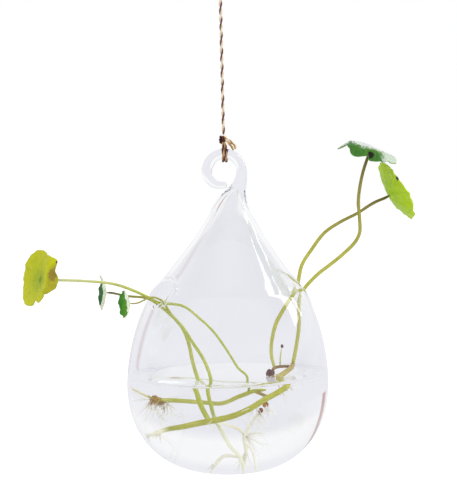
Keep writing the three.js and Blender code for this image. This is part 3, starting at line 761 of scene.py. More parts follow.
def loft(name, run, sides=128):
    """One closed skin over rings of (centre, lean, half width), as deep as the path is thick."""
    mesh = bmesh.new()
    rows = []
    for i, (centre, lean, wide) in enumerate(run):
        ahead = (run[min(i + 1, len(run) - 1)][0] - run[max(i - 1, 0)][0]).normalized()
        deep = wide * abs(ahead.z * math.cos(lean) - ahead.x * math.sin(lean))
        row = []
        for k in range(sides):
            turn = FULL_TURN * k / sides
            out = wide * math.cos(turn)
            offset = Vector((out * math.cos(lean), deep * math.sin(turn), out * math.sin(lean)))
            row.append(mesh.verts.new((centre + offset) * MM))
        rows.append(row)
    skin_rings(mesh, rows)
    mesh.faces.new(rows[0])
    mesh.faces.new(rows[-1])
    piece = place_mesh(name, mesh)
    close_up(piece)
    return piece


def smooth_run(run, passes):
    """Evens the rings out along the way, all but the hook's blunt end."""
    rows = [list(row) for row in zip(*run)]
    for _ in range(passes):
        for row in rows:
            before = list(row)
            for i in range(1, len(run) - BLUNT_RINGS):
                row[i] = (before[i - 1] + 2 * before[i] + before[i + 1]) / 4
    return list(zip(*rows))


def drawn_run():
    """The bulb's top, the drawn neck and the curled hook, in evenly spaced rings."""
    stations = []
    for height in range(JOIN_HEIGHT, NECK_FOOT, 4):
        level = (height - JOIN_HEIGHT) / (NECK_FOOT - JOIN_HEIGHT)
        stations.append((on_axis(height), LEAN * (level - 1), radius_at(OUTLINE, height)))
    for height, across, width in NECK_RINGS:
        stations.append((Vector((across, 0, BASE_Z + height)), 0.0, width / 2))
    for turn, inset, width in CURL:
        stations.append((curl_place(turn, inset), turn * DEGREE, width / 2))
    places, leans, radii = zip(*stations)
    route = Route(places)
    count = int(route.length() / SWEEP_STEP)
    shares = [route.share(i / count) for i in range(count + 1)]
    run = [(route.point(t), spread(leans, t), spread(radii, t)) for t in shares]
    return smooth_run(run, SMOOTHING)


DRAWN = drawn_run()


def outer_run():
    low = [(on_axis(-1.0), -LEAN, FLAT_RADIUS)]
    low += [(on_axis(p.y), -LEAN, p.x) for p in OUTLINE if p.y < JOIN_HEIGHT - 1]
    return low + DRAWN


def inner_run(distance):
    """The hollow: the outside set in by the wall, closing to a round end in the drawn neck."""
    low = [p for p in set_in(distance) if distance < p.y < JOIN_HEIGHT - 1 and p.x > 0]
    run = [(on_axis(distance), -LEAN, FLAT_RADIUS - distance + WALL)]
    run += [(on_axis(p.y), -LEAN, p.x) for p in low]
    slant = math.cos(math.atan(SHOULDER_SLOPE))
    for place, lean, radius in DRAWN:
        height = place.z - BASE_Z
        if height < JOIN_HEIGHT + 1:
            continue
        if height > HOLLOW_TOP:
            break
        rise = (height - JOIN_HEIGHT) / (HOLLOW_TOP - JOIN_HEIGHT)
        closing = math.sqrt(max(0.0, 1 - rise**5))
        run.append((place, lean, max((radius - distance / slant) * closing, 0.05)))
    return run


MIDDLE_OUTLINE = set_in(WALL / 2)


class Opening:
    """An oval hole, square to the shoulder, with a fire-rounded rim that follows the wall."""

    def __init__(self, turn, length):
        angle, tilt = turn * DEGREE, math.atan(SHOULDER_SLOPE)
        cos, sin = math.cos(angle), math.sin(angle)
        self.outward = Vector((cos * math.cos(tilt), sin * math.cos(tilt), math.sin(tilt)))
        self.across = Vector((-sin, cos, 0))
        self.up = self.outward.cross(self.across)
        radius = radius_at(MIDDLE_OUTLINE, SHOULDER_HEIGHT)
        self.centre = Vector((radius * cos, radius * sin, SHOULDER_HEIGHT))
        self.half_length = length / 2

    def on_wall(self, u, v):
        """The middle of the glass wall, straight behind a place on the opening's flat plane."""
        low, high = -OPENING_WIDTH, OPENING_WIDTH / 2
        flat = self.centre + self.across * u + self.up * v
        for _ in range(30):
            depth = (low + high) / 2
            place = flat + self.outward * depth
            if math.hypot(place.x, place.y) > radius_at(MIDDLE_OUTLINE, place.z):
                high = depth
            else:
                low = depth
        return flat + self.outward * low

    def rim_point(self, angle):
        return self.on_wall(math.cos(angle) * OPENING_WIDTH / 2, math.sin(angle) * self.half_length)

    def seat(self, angle, heading):
        """Where a petiole's middle lies when it rests against the rim on its way out."""
        here = self.rim_point(angle * DEGREE)
        along = self.rim_point((angle + 1) * DEGREE) - here
        aside = Vector(heading).cross(along).normalized()
        if aside.dot(self.centre - here) < 0:
            aside.negate()
        return BULB_FRAME @ (here + aside * (RIM / 2 + TOUCH + SEAT_SLACK + PETIOLE / 2))

    def cutter(self):
        deselect()
        bpy.ops.mesh.primitive_cylinder_add(vertices=RIM_STEPS, radius=1, depth=OPENING_WIDTH)
        cutter = bpy.context.object
        cutter.data.transform(Matrix.Diagonal((OPENING_WIDTH / 2, self.half_length, 1, 1)))
        turned = Matrix((self.across, self.up, self.outward)).transposed().to_4x4()
        place = BULB_FRAME @ Matrix.Translation(self.centre) @ turned
        cutter.data.transform(Matrix.Scale(MM, 4) @ place)
        close_up(cutter)
        return cutter

    def rim(self):
        ring = []
        for turn in (FULL_TURN * i / RIM_STEPS for i in range(RIM_STEPS)):
            swell = 1 + RIM_SWELL * math.sin(2 * turn)
            ring.append((BULB_FRAME @ self.rim_point(turn), RIM / 2 * swell))
        return tube("rim", [ring], sides=24, closed=True)


left_hole = Opening(*LEFT_OPENING)
right_hole = Opening(*RIGHT_OPENING)


def make_vase():
    vase = loft("blown_vase", outer_run())
    cut_level(vase, BASE_Z, use_fill=True, clear_inner=True)
    close_up(vase)
    hollow = loft("vase_hollow", inner_run(WALL))
    cut_level(hollow, WATERLINE_Z)
    holes = (left_hole, right_hole)
    cuts = [hollow, *(hole.cutter() for hole in holes)]
    rims = [hole.rim() for hole in holes]
    for operation, others in (("DIFFERENCE", cuts), ("UNION", rims)):
        for other in others:
            step = vase.modifiers.new("blown", "BOOLEAN")
            step.operation = operation
            step.object = other
            step.solver = "EXACT"
    apply_modifiers(vase)
    for other in cuts + rims:
        bpy.data.objects.remove(other)
    close_up(vase, 2e-6)
    middle = set_in(WALL * 0.75)
    for face in vase.data.polygons:
        place = BULB_FRAME.inverted() @ (face.center / MM)
        if face.center.z < WATERLINE_Z * MM and place.z > WALL * 0.6:
            if math.hypot(place.x, place.y) < radius_at(middle, place.z):
                face.material_index = 1
    return vase


def make_water():
    water = loft("still_water", inner_run(WALL + WATER_GAP))
    cut_level(water, WATERLINE_Z, use_fill=True, clear_outer=True)
    top = max(water.data.polygons, key=lambda face: (face.center.z, face.area))
    for face in water.data.polygons:
        face.select = face.index == top.index
    bpy.ops.object.mode_set(mode="EDIT")
    bpy.ops.mesh.select_mode(type="FACE")
    for width, drop in MENISCUS:
        bpy.ops.mesh.inset(thickness=width * MM, depth=-drop * MM)
    bpy.ops.object.mode_set(mode="OBJECT")
    close_up(water)
    lowest = (WATER_Z - MENISCUS_SINK - 0.5) * MM
    for face in water.data.polygons:
        face.material_index = 0 if face.normal.z > 0.15 and face.center.z > lowest else 1
    return water


vase = make_vase()
glass_looks = [
    clear_material("blown_glass", (0.985, 0.99, 0.99), 1.5, ripple=(0.02, 0.05)),
    clear_material("wetted_glass", (0.99, 0.99, 0.995), 1.5 / 1.333),
]
dress(vase, "planter", glass_looks, ["glass_vase"], crease=32)
water = make_water()
water_looks = [
    clear_material("water_surface", (0.985, 0.99, 0.99), 1.333),
    clear_material("water_against_glass", (1, 1, 1), 1.0),
]
dress(water, "planter", water_looks, ["water"], crease=50)


# Plant
ROOM_RADIUS = BELLY_RADIUS - WALL
ROOM_X = BASE_X + math.tan(LEAN) * WATER_HEIGHT


def in_water(*places):
    """Hundredths of the room's radius across and away, and of the water's height."""
    return [
        Vector((
            ROOM_X + across * ROOM_RADIUS / 100, away * ROOM_RADIUS / 100,
            BASE_Z + up * WATER_HEIGHT / 100,
        ))
        for across, away, up in places
    ]


def over_water(*places):
    """Hundredths of the room's radius at that height, and of the rise to the openings."""
    made = []
    for across, away, up in places:
        wide = ROOM_RADIUS + (SHOULDER_RADIUS - WALL - ROOM_RADIUS) * up / 100
        rise = up * (SHOULDER_HEIGHT - WATER_HEIGHT) / 100
        made.append(Vector((ROOM_X + across * wide / 100, away * wide / 100, WATER_Z + rise)))
    return made


def from_place(start, *offsets):
    return [start + Vector(offset) for offset in offsets]


def to_leaf(start, faces, *offsets):
    """From the rim to the leaf, which the petiole's last stretch meets square."""
    run = [start, *from_place(start, *offsets)]
    return [*run[:-1], run[-1] - Vector(faces).normalized() * SQUARE_STRETCH, run[-1]]


BIG_FACES = (-0.83, -0.51, 0.25)
DARK_FACES = (-0.99, -0.16, 0.05)
SMALL_FACES = (-0.93, -0.38, 0.05)
UMBRELLA_FACES = (0.39, -0.12, 0.92)
LIME_FACES = (0.87, 0.18, 0.46)
big_seat = left_hole.seat(-66, (-0.93, -0.05, 0.35))
dark_seat = left_hole.seat(-81, (-0.93, 0.1, 0.35))
small_seat = left_hole.seat(-46, (-0.9, -0.1, 0.4))
lime_seat = right_hole.seat(150, (0.4, 0.1, 0.9))
umbrella_seat = right_hole.seat(182, (0.45, 0, 0.9))

lower_runner = Route(
    in_water(
        (-73, -34, 47), (-56, -45, 55), (-41, -57, 59), (-26, -65, 63), (-12, -72, 66),
        (4, -76, 70), (19, -76, 76), (34, -72, 84), (47, -67, 90), (54, -63, 94),
        (52, -52, 97), (50, -43, 99),
    )
    + over_water((56, -29, 1), (62.5, -14, 3), (66.5, 0, 4), (69, 13, 6))
)
upper_runner = Route(
    in_water(
        (-56, 7, 75), (-41, 3, 75), (-23, -10, 75), (-5, -28, 76), (9, -40, 83), (23, -50, 89),
        (33, -53, 90),
    )
)
thin_runner = Route(in_water((-56, 7, 75), (-67, 5, 80), (-81, 3, 86)))
link_top = upper_runner.at(0.9)
link_foot = lower_runner.at(0.56)
runner_link = Route([link_top, link_top.lerp(link_foot, 0.5), link_foot])
crown_stem = Route(
    over_water((45.5, -14, 3), (49.5, -8, 5), (59, -7, 6)) + [lower_runner.at(0.94)]
)
sprout_foot = crown_stem.at(0.45)
sprout = Route([sprout_foot, *from_place(sprout_foot, (0.4, 0.4, 6), (1.2, 0.8, 11))])
big_petiole = Route(
    [upper_runner.at(0.84)]
    + over_water(
        (19, -54.5, 3), (10.5, -57, 14), (-1, -60.5, 36), (-16.5, -62.5, 58), (-33.5, -61.5, 73),
        (-55.5, -50, 86),
    )
    + to_leaf(
        big_seat, BIG_FACES, (-7, -3.2, 4.2), (-14, -6, 7.9), (-21, -8.3, 11), (-28, -10, 13),
        (-44, -13.5, 15), (-66.5, -17, 17),
    )
)
dark_petiole = Route(
    [lower_runner.at(0.3)]
    + in_water((-19, -60, 67), (-24, -48, 77), (-27, -36, 88), (-31, -31, 100))
    + over_water((-36.5, -32.5, 17), (-43.5, -37, 42), (-53, -40, 60), (-67, -44.5, 74))
    + to_leaf(dark_seat, DARK_FACES, (-5.8, 0, 3), (-17, 1.5, 4.3), (-29, 3.4, 6.3))
)
small_petiole = Route(
    in_water(
        (12, -4, 18), (10, -14, 29), (7, -24, 34), (0, -38, 42), (-8, -48, 57), (-13, -55, 68),
        (-15, -59, 76), (-18, -60, 91),
    )
    + over_water(
        (-17, -60.5, 2), (-25.5, -63, 26), (-38.5, -62, 45), (-51, -62, 62), (-66.5, -58.5, 76)
    )
    + to_leaf(small_seat, SMALL_FACES, (-6, -3.2, 3), (-14, -8.2, 0.5), (-18.6, -11.2, 0.5))
)
lime_petiole = Route(
    [crown_stem.at(0.2)]
    + over_water((47.5, -2, 22), (52.5, 2, 42), (60, 4.5, 58), (71, 7.5, 72), (91, 9, 93))
    + to_leaf(
        lime_seat, LIME_FACES, (3, 1.2, 11.5), (9, 2.5, 20.5), (17, 3.7, 30.3), (26.5, 4.9, 36.4),
        (37, 5.9, 41.4), (47.5, 9.4, 47.4), (57, 13.9, 51.2),
    )
)
umbrella_petiole = Route(
    [lower_runner.at(0.985)]
    + over_water((78.5, 14, 31), (87.5, 14, 55), (92, 12.5, 72), (98.5, 10.5, 88))
    + to_leaf(
        umbrella_seat, UMBRELLA_FACES, (8.6, 0, 9.4), (17.6, -0.8, 16.3), (25, -1.8, 22.3),
        (32, -2.8, 29.3), (34.6, -3.3, 34.8), (34.6, -3.8, 43.8), (34.1, -3.8, 53.8),
        (36.9, -3.3, 69.6), (42.6, -2.8, 85),
    )
)
middle_root = Route(
    in_water(
        (29, -69, 73), (23, -65, 66), (18, -52, 58), (12, -31, 47), (13, -17, 37), (11, -7, 28),
        (10, 2, 20),
    )
)
arc_root = Route(
    [lower_runner.at(0.32)]
    + in_water((-9, -63, 63), (-3, -46, 60), (8, -40, 55))
    + [middle_root.at(0.5)]
)
right_root = Route([middle_root.at(0.62)] + in_water((17, -21, 39), (21, -10, 26), (23, -3, 15)))
left_root = Route(in_water((-13, -7, 28), (-4, -17, 34)) + [small_petiole.at(0.095)])

petiole_look = stalk_material(
    "petiole_green", (0.36, 0.40, 0.035), (0.47, 0.50, 0.085), spots=(0.30, 0.16, 0.04),
    end=(0.60, 0.62, 0.34), end_from=0.6,
)
olive_look = stalk_material(
    "petiole_olive", (0.38, 0.42, 0.035), (0.46, 0.48, 0.07), end=(0.12, 0.09, 0.02), end_from=0.66
)
small_look = stalk_material(
    "petiole_pale_foot", (0.36, 0.40, 0.04), (0.45, 0.48, 0.08), tip=(0.80, 0.80, 0.62),
    tip_from=0.36, end=(0.30, 0.26, 0.08), end_from=0.7,
)
right_look = stalk_material(
    "petiole_brown_neck", (0.38, 0.38, 0.045), (0.46, 0.45, 0.08), spots=(0.2, 0.10, 0.02),
    end=(0.13, 0.10, 0.012), end_from=0.5,
)
runner_look = stalk_material(
    "runner_green", (0.34, 0.35, 0.025), (0.42, 0.42, 0.055), tip=(0.82, 0.80, 0.62),
    tip_from=0.12, spots=(0.25, 0.13, 0.03), end=(0.34, 0.20, 0.03), end_from=0.62,
)
upper_look = stalk_material(
    "upper_runner_green", (0.38, 0.40, 0.04), (0.52, 0.52, 0.12), spots=(0.3, 0.16, 0.05)
)
link_look = stalk_material("runner_link_green", (0.36, 0.35, 0.04), (0.3, 0.2, 0.05))
root_look = stalk_material("cream_root", (0.84, 0.83, 0.72), (0.78, 0.76, 0.56), roughness=0.45)
thin_look = stalk_material("pale_runner_tip", (0.70, 0.69, 0.46), (0.58, 0.56, 0.22))
twig_look = stalk_material(
    "crown_stem_brown", (0.26, 0.15, 0.02), (0.11, 0.03, 0.01), spots=(0.07, 0.01, 0.01)
)

# Each stem: name, route, widths from its foot to its tip, look, slot, solid, sides
STEMS = [
    ("lower_runner_stem", lower_runner, [2.2, *[THICK_RUNNER] * 4, 2.8], runner_look, "runner",
     "lower_runner", 20),
    ("upper_runner_stem", upper_runner, [*[THIN_RUNNER] * 3, 2.4, 1.4], upper_look, "runner",
     "upper_runner", 16),
    ("thin_runner_stem", thin_runner, [1.2, 1.0], thin_look, "pale_root", "thin_runner", 12),
    ("runner_link_stem", runner_link, [1.8, 1.8], link_look, "runner", "runner_link", 12),
    ("crown_stem_twig", crown_stem, [2, 1.8, 1.8], twig_look, "node", "crown_stem", 12),
    ("sprout_stalk", sprout, [0.9, 0.7], petiole_look, "petiole", "sprout", 10),
    ("big_leaf_petiole", big_petiole, [1.3, 1.4, 1.4, 1.6, 1.8, 1.6, 1.5], petiole_look, "petiole",
     "big_petiole", 16),
    ("dark_leaf_petiole", dark_petiole, [2.7, 2.7, 2.2, 2, 1.8, 1.4, 1.2], olive_look, "petiole",
     "dark_petiole", 16),
    ("small_leaf_petiole", small_petiole, [1.4, 1.8, 2, 2, 1.9, 1.5, 1.0, 0.9], small_look,
     "petiole", "small_petiole", 16),
    ("lime_leaf_petiole", lime_petiole, [1.8, 2.4, 2.3, 2.2, 1.9, 1.6], right_look, "petiole",
     "lime_petiole", 16),
    ("umbrella_leaf_petiole", umbrella_petiole, [2.4, 2.2, 2.2, 2.2, 2, 1.7], right_look, "petiole",
     "umbrella_petiole", 16),
    ("middle_root_stem", middle_root, [1.3, 1.6, 1.6, 1.3], root_look, "pale_root",
     "middle_root", 16),
    ("arc_root_stem", arc_root, [1.6, 1.6, 1.3], root_look, "pale_root", "arc_root", 16),
    ("right_root_stem", right_root, [1.1, 1.1], root_look, "pale_root", "right_root", 12),
    ("left_root_stem", left_root, [1.6, 1.3], root_look, "pale_root", "left_root", 12),
]
for name, route, widths, look, slot, node, sides in STEMS:
    count = max(12, int(route.length() / STEM_STEP))
    run = []
    for i in range(count + 1):
        place = route.at(i / count)
        swell = 1 + 0.05 * noise.noise(place * 0.35)
        end = min(1.0, 0.55 + min(i, count - i) * 0.22)
        run.append((place, spread(widths, route.share(i / count)) / 2 * swell * end))
    dress(tube(name, [run], sides=sides), "planter", [look], [node], crease=60)


def make_lump(name, centre, size, look, node, rough=0.22, grain=0.9, cuts=4):
    """A scaly knob: a ball pressed to its size, with its skin pushed in and out."""
    deselect()
    bpy.ops.mesh.primitive_ico_sphere_add(subdivisions=cuts, radius=1)
    knob = bpy.context.object
    knob.name = name
    half, centre = Vector(size) / 2, Vector(centre)
    for vertex in knob.data.vertices:
        place = vertex.co.normalized() * half
        swell = noise.noise(place * grain + centre)
        swell += 0.5 * noise.noise(place * grain * 2.7 + centre)
        vertex.co = (place * (1 + rough * swell) + centre) * MM
    close_up(knob)
    dress(knob, "planter", [look], [node], crease=60)


node_look = lump_material("node_brown", (0.16, 0.055, 0.01), (0.62, 0.42, 0.07))
crown_look = lump_material("crown_dark_red", (0.035, 0.006, 0.005), (0.15, 0.04, 0.02))
nodule_look = lump_material("nodule_red_brown", (0.18, 0.045, 0.012), (0.46, 0.22, 0.05))
left_node, upper_nodule, lower_nodule = in_water((-56, 7, 75), (33.5, -71, 79), (29, -69, 73.5))
crown = over_water((43, -17, 2))[0] - Vector((0, 0, 1))
bud = sprout.places[-1] + Vector((0.3, 0, 1))
make_lump("left_node_knob", left_node, (4.4, 3.6, 4.0), node_look, "left_node", 0.5, 0.8)
make_lump("crown_knob", crown, (5.0, 5.6, 4.0), crown_look, "crown", 0.35)
make_lump("sprout_bud_knob", bud, (1.9, 1.8, 2.2), crown_look, "sprout_bud", cuts=3)
make_lump("upper_nodule_knob", upper_nodule, (3.4, 3.0, 3.0), nodule_look, "upper_nodule")
make_lump("lower_nodule_knob", lower_nodule, (2.8, 2.6, 2.6), nodule_look, "lower_nodule")

# Hair roots
chance = random.Random(11)
WATER_SKIN = set_in(WALL + 0.8)
HAIR_STEPS = 11


def kept_in_water(place):
    """The nearest place that stays inside the water."""
    inside = BULB_FRAME.inverted() @ place
    out = math.hypot(inside.x, inside.y)
    most = radius_at(WATER_SKIN, inside.z)
    if out > most:
        inside.x *= most / out
        inside.y *= most / out
    place = BULB_FRAME @ inside
    place.z = min(place.z, WATER_Z - 0.5)
    return place


def drift(amount):
    return Vector([chance.gauss(0, amount) for _ in range(3)])


def fringe(start, heading, count, shortest, longest, thick=0.2, stray=0.5, bend=0.35):
    """Fine hairs from one place on a stem: each wanders off its own way and thins to its tip."""
    hairs = []
    for _ in range(count):
        aim = Vector(heading).normalized() + drift(stray)
        turn = drift(bend)
        length = chance.uniform(shortest, longest)
        place = Vector(start) + drift(0.6)
        run = []
        for i in range(HAIR_STEPS + 1):
            run.append((kept_in_water(place), thick * (1 - 0.65 * i / HAIR_STEPS)))
            aim = (aim.normalized() + turn / HAIR_STEPS * 2 + Vector((0, 0, -0.04))).normalized()
            place = place + aim * (length / HAIR_STEPS)
        hairs.append(run)
    return hairs


under_nodules = in_water((33.5, -71, 77), (29, -69, 71.5))
white_hairs = [
    *fringe(upper_runner.at(0.0), (-0.5, -0.2, -1), 22, 6, 16),
    *fringe(upper_runner.at(0.07), (0.2, -0.2, -1), 16, 5, 13),
    *fringe(lower_runner.at(0.0), (-1, 0, -0.4), 18, 5, 13),
    *fringe(lower_runner.at(0.06), (-0.2, 0, -1), 8, 5, 12),
    *fringe(lower_runner.at(0.32), (0.1, -0.1, -1), 7, 5, 12),
    *fringe(lower_runner.at(0.5), (0.2, 0, -1), 8, 5, 12),
    *fringe(lower_runner.at(0.62), (0.5, 0, -0.8), 7, 4, 10),
    *fringe(lower_runner.at(0.72), (0.8, 0.1, -0.5), 10, 5, 11),
    *fringe(lower_runner.at(0.78), (0.9, 0.1, -0.3), 16, 4, 10),
    *fringe(middle_root.at(0.5), (1, -0.1, 0.25), 7, 10, 19, bend=0.9),
    *fringe(under_nodules[0], (0.4, 0, -1), 16, 4, 12),
    *fringe(under_nodules[1], (-0.1, 0, -1), 14, 4, 11),
    *fringe(middle_root.at(0.5), (0.7, -0.1, -0.7), 10, 7, 16),
    *fringe(middle_root.at(0.75), (-0.4, 0, -0.9), 7, 5, 12),
    *fringe(middle_root.at(1.0), (0.2, 0, -1), 7, 4, 9),
    *fringe(right_root.at(1.0), (0.6, 0, -0.8), 7, 4, 10),
    *fringe(left_root.at(0.0), (-0.8, 0, -0.6), 6, 4, 9),
    *fringe(small_petiole.at(0.0), (-0.3, 0, -1), 6, 4, 8),
]
crown_foot = over_water((43, -17, 0))[0] - Vector((0, 0, 1.2))
golden_hairs = [
    *fringe(crown_foot, (0.5, -0.2, -1), 22, 4, 10, thick=0.32),
    *fringe(upper_runner.at(0.0), (-0.4, -0.4, -0.2), 14, 2, 5, thick=0.34, stray=0.8),
    *fringe(upper_runner.at(0.04), (0.5, -0.3, -0.8), 14, 2, 6, thick=0.34, stray=0.6),
    *fringe(lower_runner.at(0.76), (0.9, -0.2, -0.2), 12, 2, 6, thick=0.3, stray=0.6),
]
white_look = stalk_material(
    "hair_root_white", (0.86, 0.86, 0.80), (0.72, 0.70, 0.56), roughness=0.5, glow=0.3
)
golden_look = stalk_material("golden_root", (0.50, 0.34, 0.07), (0.30, 0.15, 0.03), roughness=0.5)
for name, hairs, look in (
    ("hair_root_fringe", white_hairs, white_look),
    ("golden_root_fringe", golden_hairs, golden_look),
):
    dress(tube(name, hairs, sides=6), "planter", [look], crease=60)


# Leaves
def make_leaf(
    name, node, looks, radius, stem, faces, side, cup, ripple, waves, scallop, lobes, crinkle,
    bowl=2, fold=None, droop=None, notches=(),
):
    """A round blade: a disc inset into rings, cupped, rippled, scalloped and given its thickness.

    The fold is (where, angle, stretch) and the droop is (where, angle). Each notch is (turn, depth,
    width), and one of less than nothing is a bulge.
    """
    deselect()
    bpy.ops.mesh.primitive_circle_add(vertices=LEAF_CORNERS, radius=radius, fill_type="NGON")
    blade = bpy.context.object
    blade.name = name
    bpy.ops.object.mode_set(mode="EDIT")
    bpy.ops.mesh.select_mode(type="FACE")
    bpy.ops.mesh.select_all(action="SELECT")
    for _ in range(LEAF_RINGS):
        bpy.ops.mesh.inset(thickness=radius / (LEAF_RINGS + 0.6), depth=0)
    bpy.ops.mesh.poke()
    bpy.ops.object.mode_set(mode="OBJECT")
    flat = blade.data.uv_layers.new(name="flat")
    for loop in blade.data.loops:
        spot = blade.data.vertices[loop.vertex_index].co
        flat.data[loop.index].uv = (spot.x / radius / 2 + 0.5, spot.y / radius / 2 + 0.5)
    up = Vector(faces).normalized()
    first = Vector(side).cross(up).normalized()
    second = first.cross(up)
    tip = stem.at(1)
    seed = Vector((radius, lobes, waves))
    for vertex in blade.data.vertices:
        x, z = vertex.co.x, vertex.co.y
        angle = math.atan2(z, x)
        share = math.hypot(x, z) / radius
        ring = Vector((math.cos(angle), math.sin(angle), 0))
        edge = 1 + scallop * share**3 * math.cos(lobes * angle)
        edge += crinkle * 0.4 * share**6 * math.cos(3 * lobes * angle + 1.3)
        edge += crinkle * share**4 * noise.noise(ring * 2.1 + seed)
        for turn, depth, width in notches:
            off = angle - turn * DEGREE
            off = math.atan2(math.sin(off), math.cos(off))
            edge -= depth * share**5 * math.exp(-((off / (width * DEGREE)) ** 2))
        x *= edge * LEAF_TRIM
        z *= edge * LEAF_TRIM
        y = cup * share**bowl
        y += ripple * share**2 * math.cos(waves * angle + 1)
        y += 0.25 * ripple * share**3 * math.cos(lobes * 2 * angle)
        y += 0.8 * noise.noise(Vector((x, z, 0)) * 0.28 + seed) * share
        y -= 0.22 * share * math.exp(-((math.sin(LEAF_VEINS * angle / 2) * share * 6) ** 2))
        if fold and x > fold[0]:
            where, lean, stretch = fold
            beyond = (x - where) * stretch
            x = where + beyond * math.cos(lean * DEGREE)
            y -= beyond * math.sin(lean * DEGREE)
        if droop and -z > droop[0]:
            where, lean = droop
            beyond = -z - where
            z = -where - beyond * math.cos(lean * DEGREE)
            y -= beyond * math.sin(lean * DEGREE)
        vertex.co = (tip + up * (BLADE / 2 + BLADE_LIFT + y) + first * x + second * z) * MM
    mesh = bmesh.new()
    mesh.from_mesh(blade.data)
    bmesh.ops.recalc_face_normals(mesh, faces=mesh.faces)
    inner = min(mesh.faces, key=lambda face: (face.calc_center_median() - tip * MM).length)
    if inner.normal.dot(up) < 0:
        bmesh.ops.reverse_faces(mesh, faces=mesh.faces)
    mesh.to_mesh(blade.data)
    mesh.free()
    skin = blade.modifiers.new("skin", "SOLIDIFY")
    skin.thickness = BLADE * MM
    skin.offset = 0
    skin.material_offset = 1
    skin.material_offset_rim = 1
    for look in looks:
        blade.data.materials.append(look)
    apply_modifiers(blade)
    dress(blade, "planter", looks, [node], crease=80)


big_looks = [
    leaf_material(
        "big_leaf_top", (0.40, 0.45, 0.004), (0.48, 0.50, 0.004), (0.50, 0.53, 0.03),
        marks=(
            # The first two marks darken the middle of the cup as painted shade.
            (0.05, 0.05, 0.42, 0.36, (0.33, 0.40, 0.005)),
            (0.15, 0.02, 0.13, 0.12, (0.16, 0.26, 0.006)),
            (0.88, -0.2, 0.07, 0.22, (0.26, 0.19, 0.02)),
            (0.84, -0.62, 0.05, 0.07, (0.07, 0.008, 0.004)),
            (0.96, -0.5, 0.05, 0.08, (0.85, 0.80, 0.55)),
        ),
        flap=(0.77, (0.36, 0.34, 0.015)), vein_show=0.3,
    ),
    leaf_material("big_leaf_under", (0.36, 0.40, 0.03), (0.42, 0.41, 0.03), (0.50, 0.52, 0.10)),
]
green_top = leaf_material(
    "green_leaf_top", (0.02, 0.15, 0.02), (0.01, 0.10, 0.015), (0.15, 0.36, 0.06)
)
small_top = leaf_material(
    "small_leaf_top", (0.12, 0.36, 0.015), (0.03, 0.20, 0.015), (0.22, 0.45, 0.05)
)
pale_under = leaf_material(
    "pale_leaf_under", (0.62, 0.70, 0.48), (0.70, 0.74, 0.62), (0.55, 0.66, 0.36), roughness=0.55,
    marks=((0.1, 0.3, 0.35, 0.5, (0.42, 0.55, 0.12)),),
)
umbrella_looks = [
    leaf_material(
        "umbrella_leaf_top", (0.07, 0.20, 0.006), (0.03, 0.14, 0.012), (0.22, 0.36, 0.10), 14,
        marks=(
            # The two pale marks are a painted sheen, the white sky's reflection on the glossy top;
            # the near-black mark is a spot on the leaf.
            (0.25, 0.2, 0.8, 0.66, (0.56, 0.60, 0.56)),
            (-0.75, -0.3, 0.35, 0.8, (0.45, 0.54, 0.42)),
            (0.0, -0.84, 0.11, 0.09, (0.008, 0.002, 0.003)),
        ),
        roughness=0.35,
    ),
    leaf_material(
        "umbrella_leaf_under", (0.20, 0.34, 0.10), (0.12, 0.26, 0.04), (0.40, 0.52, 0.25),
        roughness=0.5,
    ),
]
lime_looks = [
    leaf_material("lime_leaf_top", (0.07, 0.22, 0.02), (0.05, 0.14, 0.02), (0.25, 0.45, 0.10)),
    leaf_material(
        "lime_leaf_under", (0.35, 0.56, 0.003), (0.42, 0.60, 0.008), (0.27, 0.47, 0.006),
        marks=(
            (-0.97, 0.25, 0.13, 0.5, (0.60, 0.64, 0.42)),
            (-0.72, 0.74, 0.22, 0.16, (0.60, 0.64, 0.42)),
            (0.84, 0.5, 0.07, 0.07, (0.02, 0.03, 0.01)),
        ),
    ),
]

UPRIGHT, DOWN, NEAR = (0, 0, 1), (0, 0, -1), (0, -1, 0)
make_leaf(
    "big_leaf_blade", "big_leaf", big_looks, 16.5, big_petiole, BIG_FACES, UPRIGHT,
    cup=2.5, ripple=0.8, waves=3, scallop=0.005, lobes=7, crinkle=0.004, fold=(12.8, 80, 2.3),
    notches=((66, 0.16, 5), (-58, 0.09, 3), (-40, -0.17, 13), (37, 0.07, 6)),
)
make_leaf(
    "dark_leaf_blade", "dark_leaf", [green_top, pale_under], 10.2, dark_petiole,
    DARK_FACES, DOWN, cup=3, ripple=0.5, waves=3, scallop=0.03, lobes=7, crinkle=0.03, bowl=1.5,
)
make_leaf(
    "small_leaf_blade", "small_leaf", [small_top, pale_under], 7.8, small_petiole,
    SMALL_FACES, DOWN, cup=3.4, ripple=0.8, waves=2, scallop=0.04, lobes=6, crinkle=0.05, bowl=1.5,
    notches=((-48, 0.26, 20), (35, -0.06, 20), (-90, -0.16, 9), (-130, 0.12, 14), (125, 0.15, 15)),
)
make_leaf(
    "umbrella_leaf_blade", "umbrella_leaf", umbrella_looks, 17, umbrella_petiole,
    UMBRELLA_FACES, NEAR, cup=-2.5, ripple=1, waves=4, scallop=0.04, lobes=7, crinkle=0.03,
    fold=(13.2, 55, 2), droop=(11.3, 50), notches=((-84, 0.1, 5), (-52, -0.1, 18)),
)
make_leaf(
    "lime_leaf_blade", "lime_leaf", lime_looks, 19.4, lime_petiole, LIME_FACES, DOWN,
    cup=5.5, ripple=0.6, waves=4, scallop=0.03, lobes=7, crinkle=0.03, bowl=1.5,
)


# Room and light
ROOM_GREYS = [
    (0.0, (0.52, 0.52, 0.54)),
    (0.2, (0.62, 0.62, 0.64)),
    (0.42, (0.90, 0.90, 0.92)),
    (0.8, (0.88, 0.88, 0.91)),
    (1.0, (0.82, 0.82, 0.865)),
]
STREAK_BEARING = 51 * DEGREE
STREAK_WIDTH = 2.4 * DEGREE
STREAK_COLOUR = (0.40, 0.14, 0.09)

# The floor and the lamps are placed and sized in metres
FLOOR_Z = -0.42
MIDDLE = Vector((0, 0, -0.22))


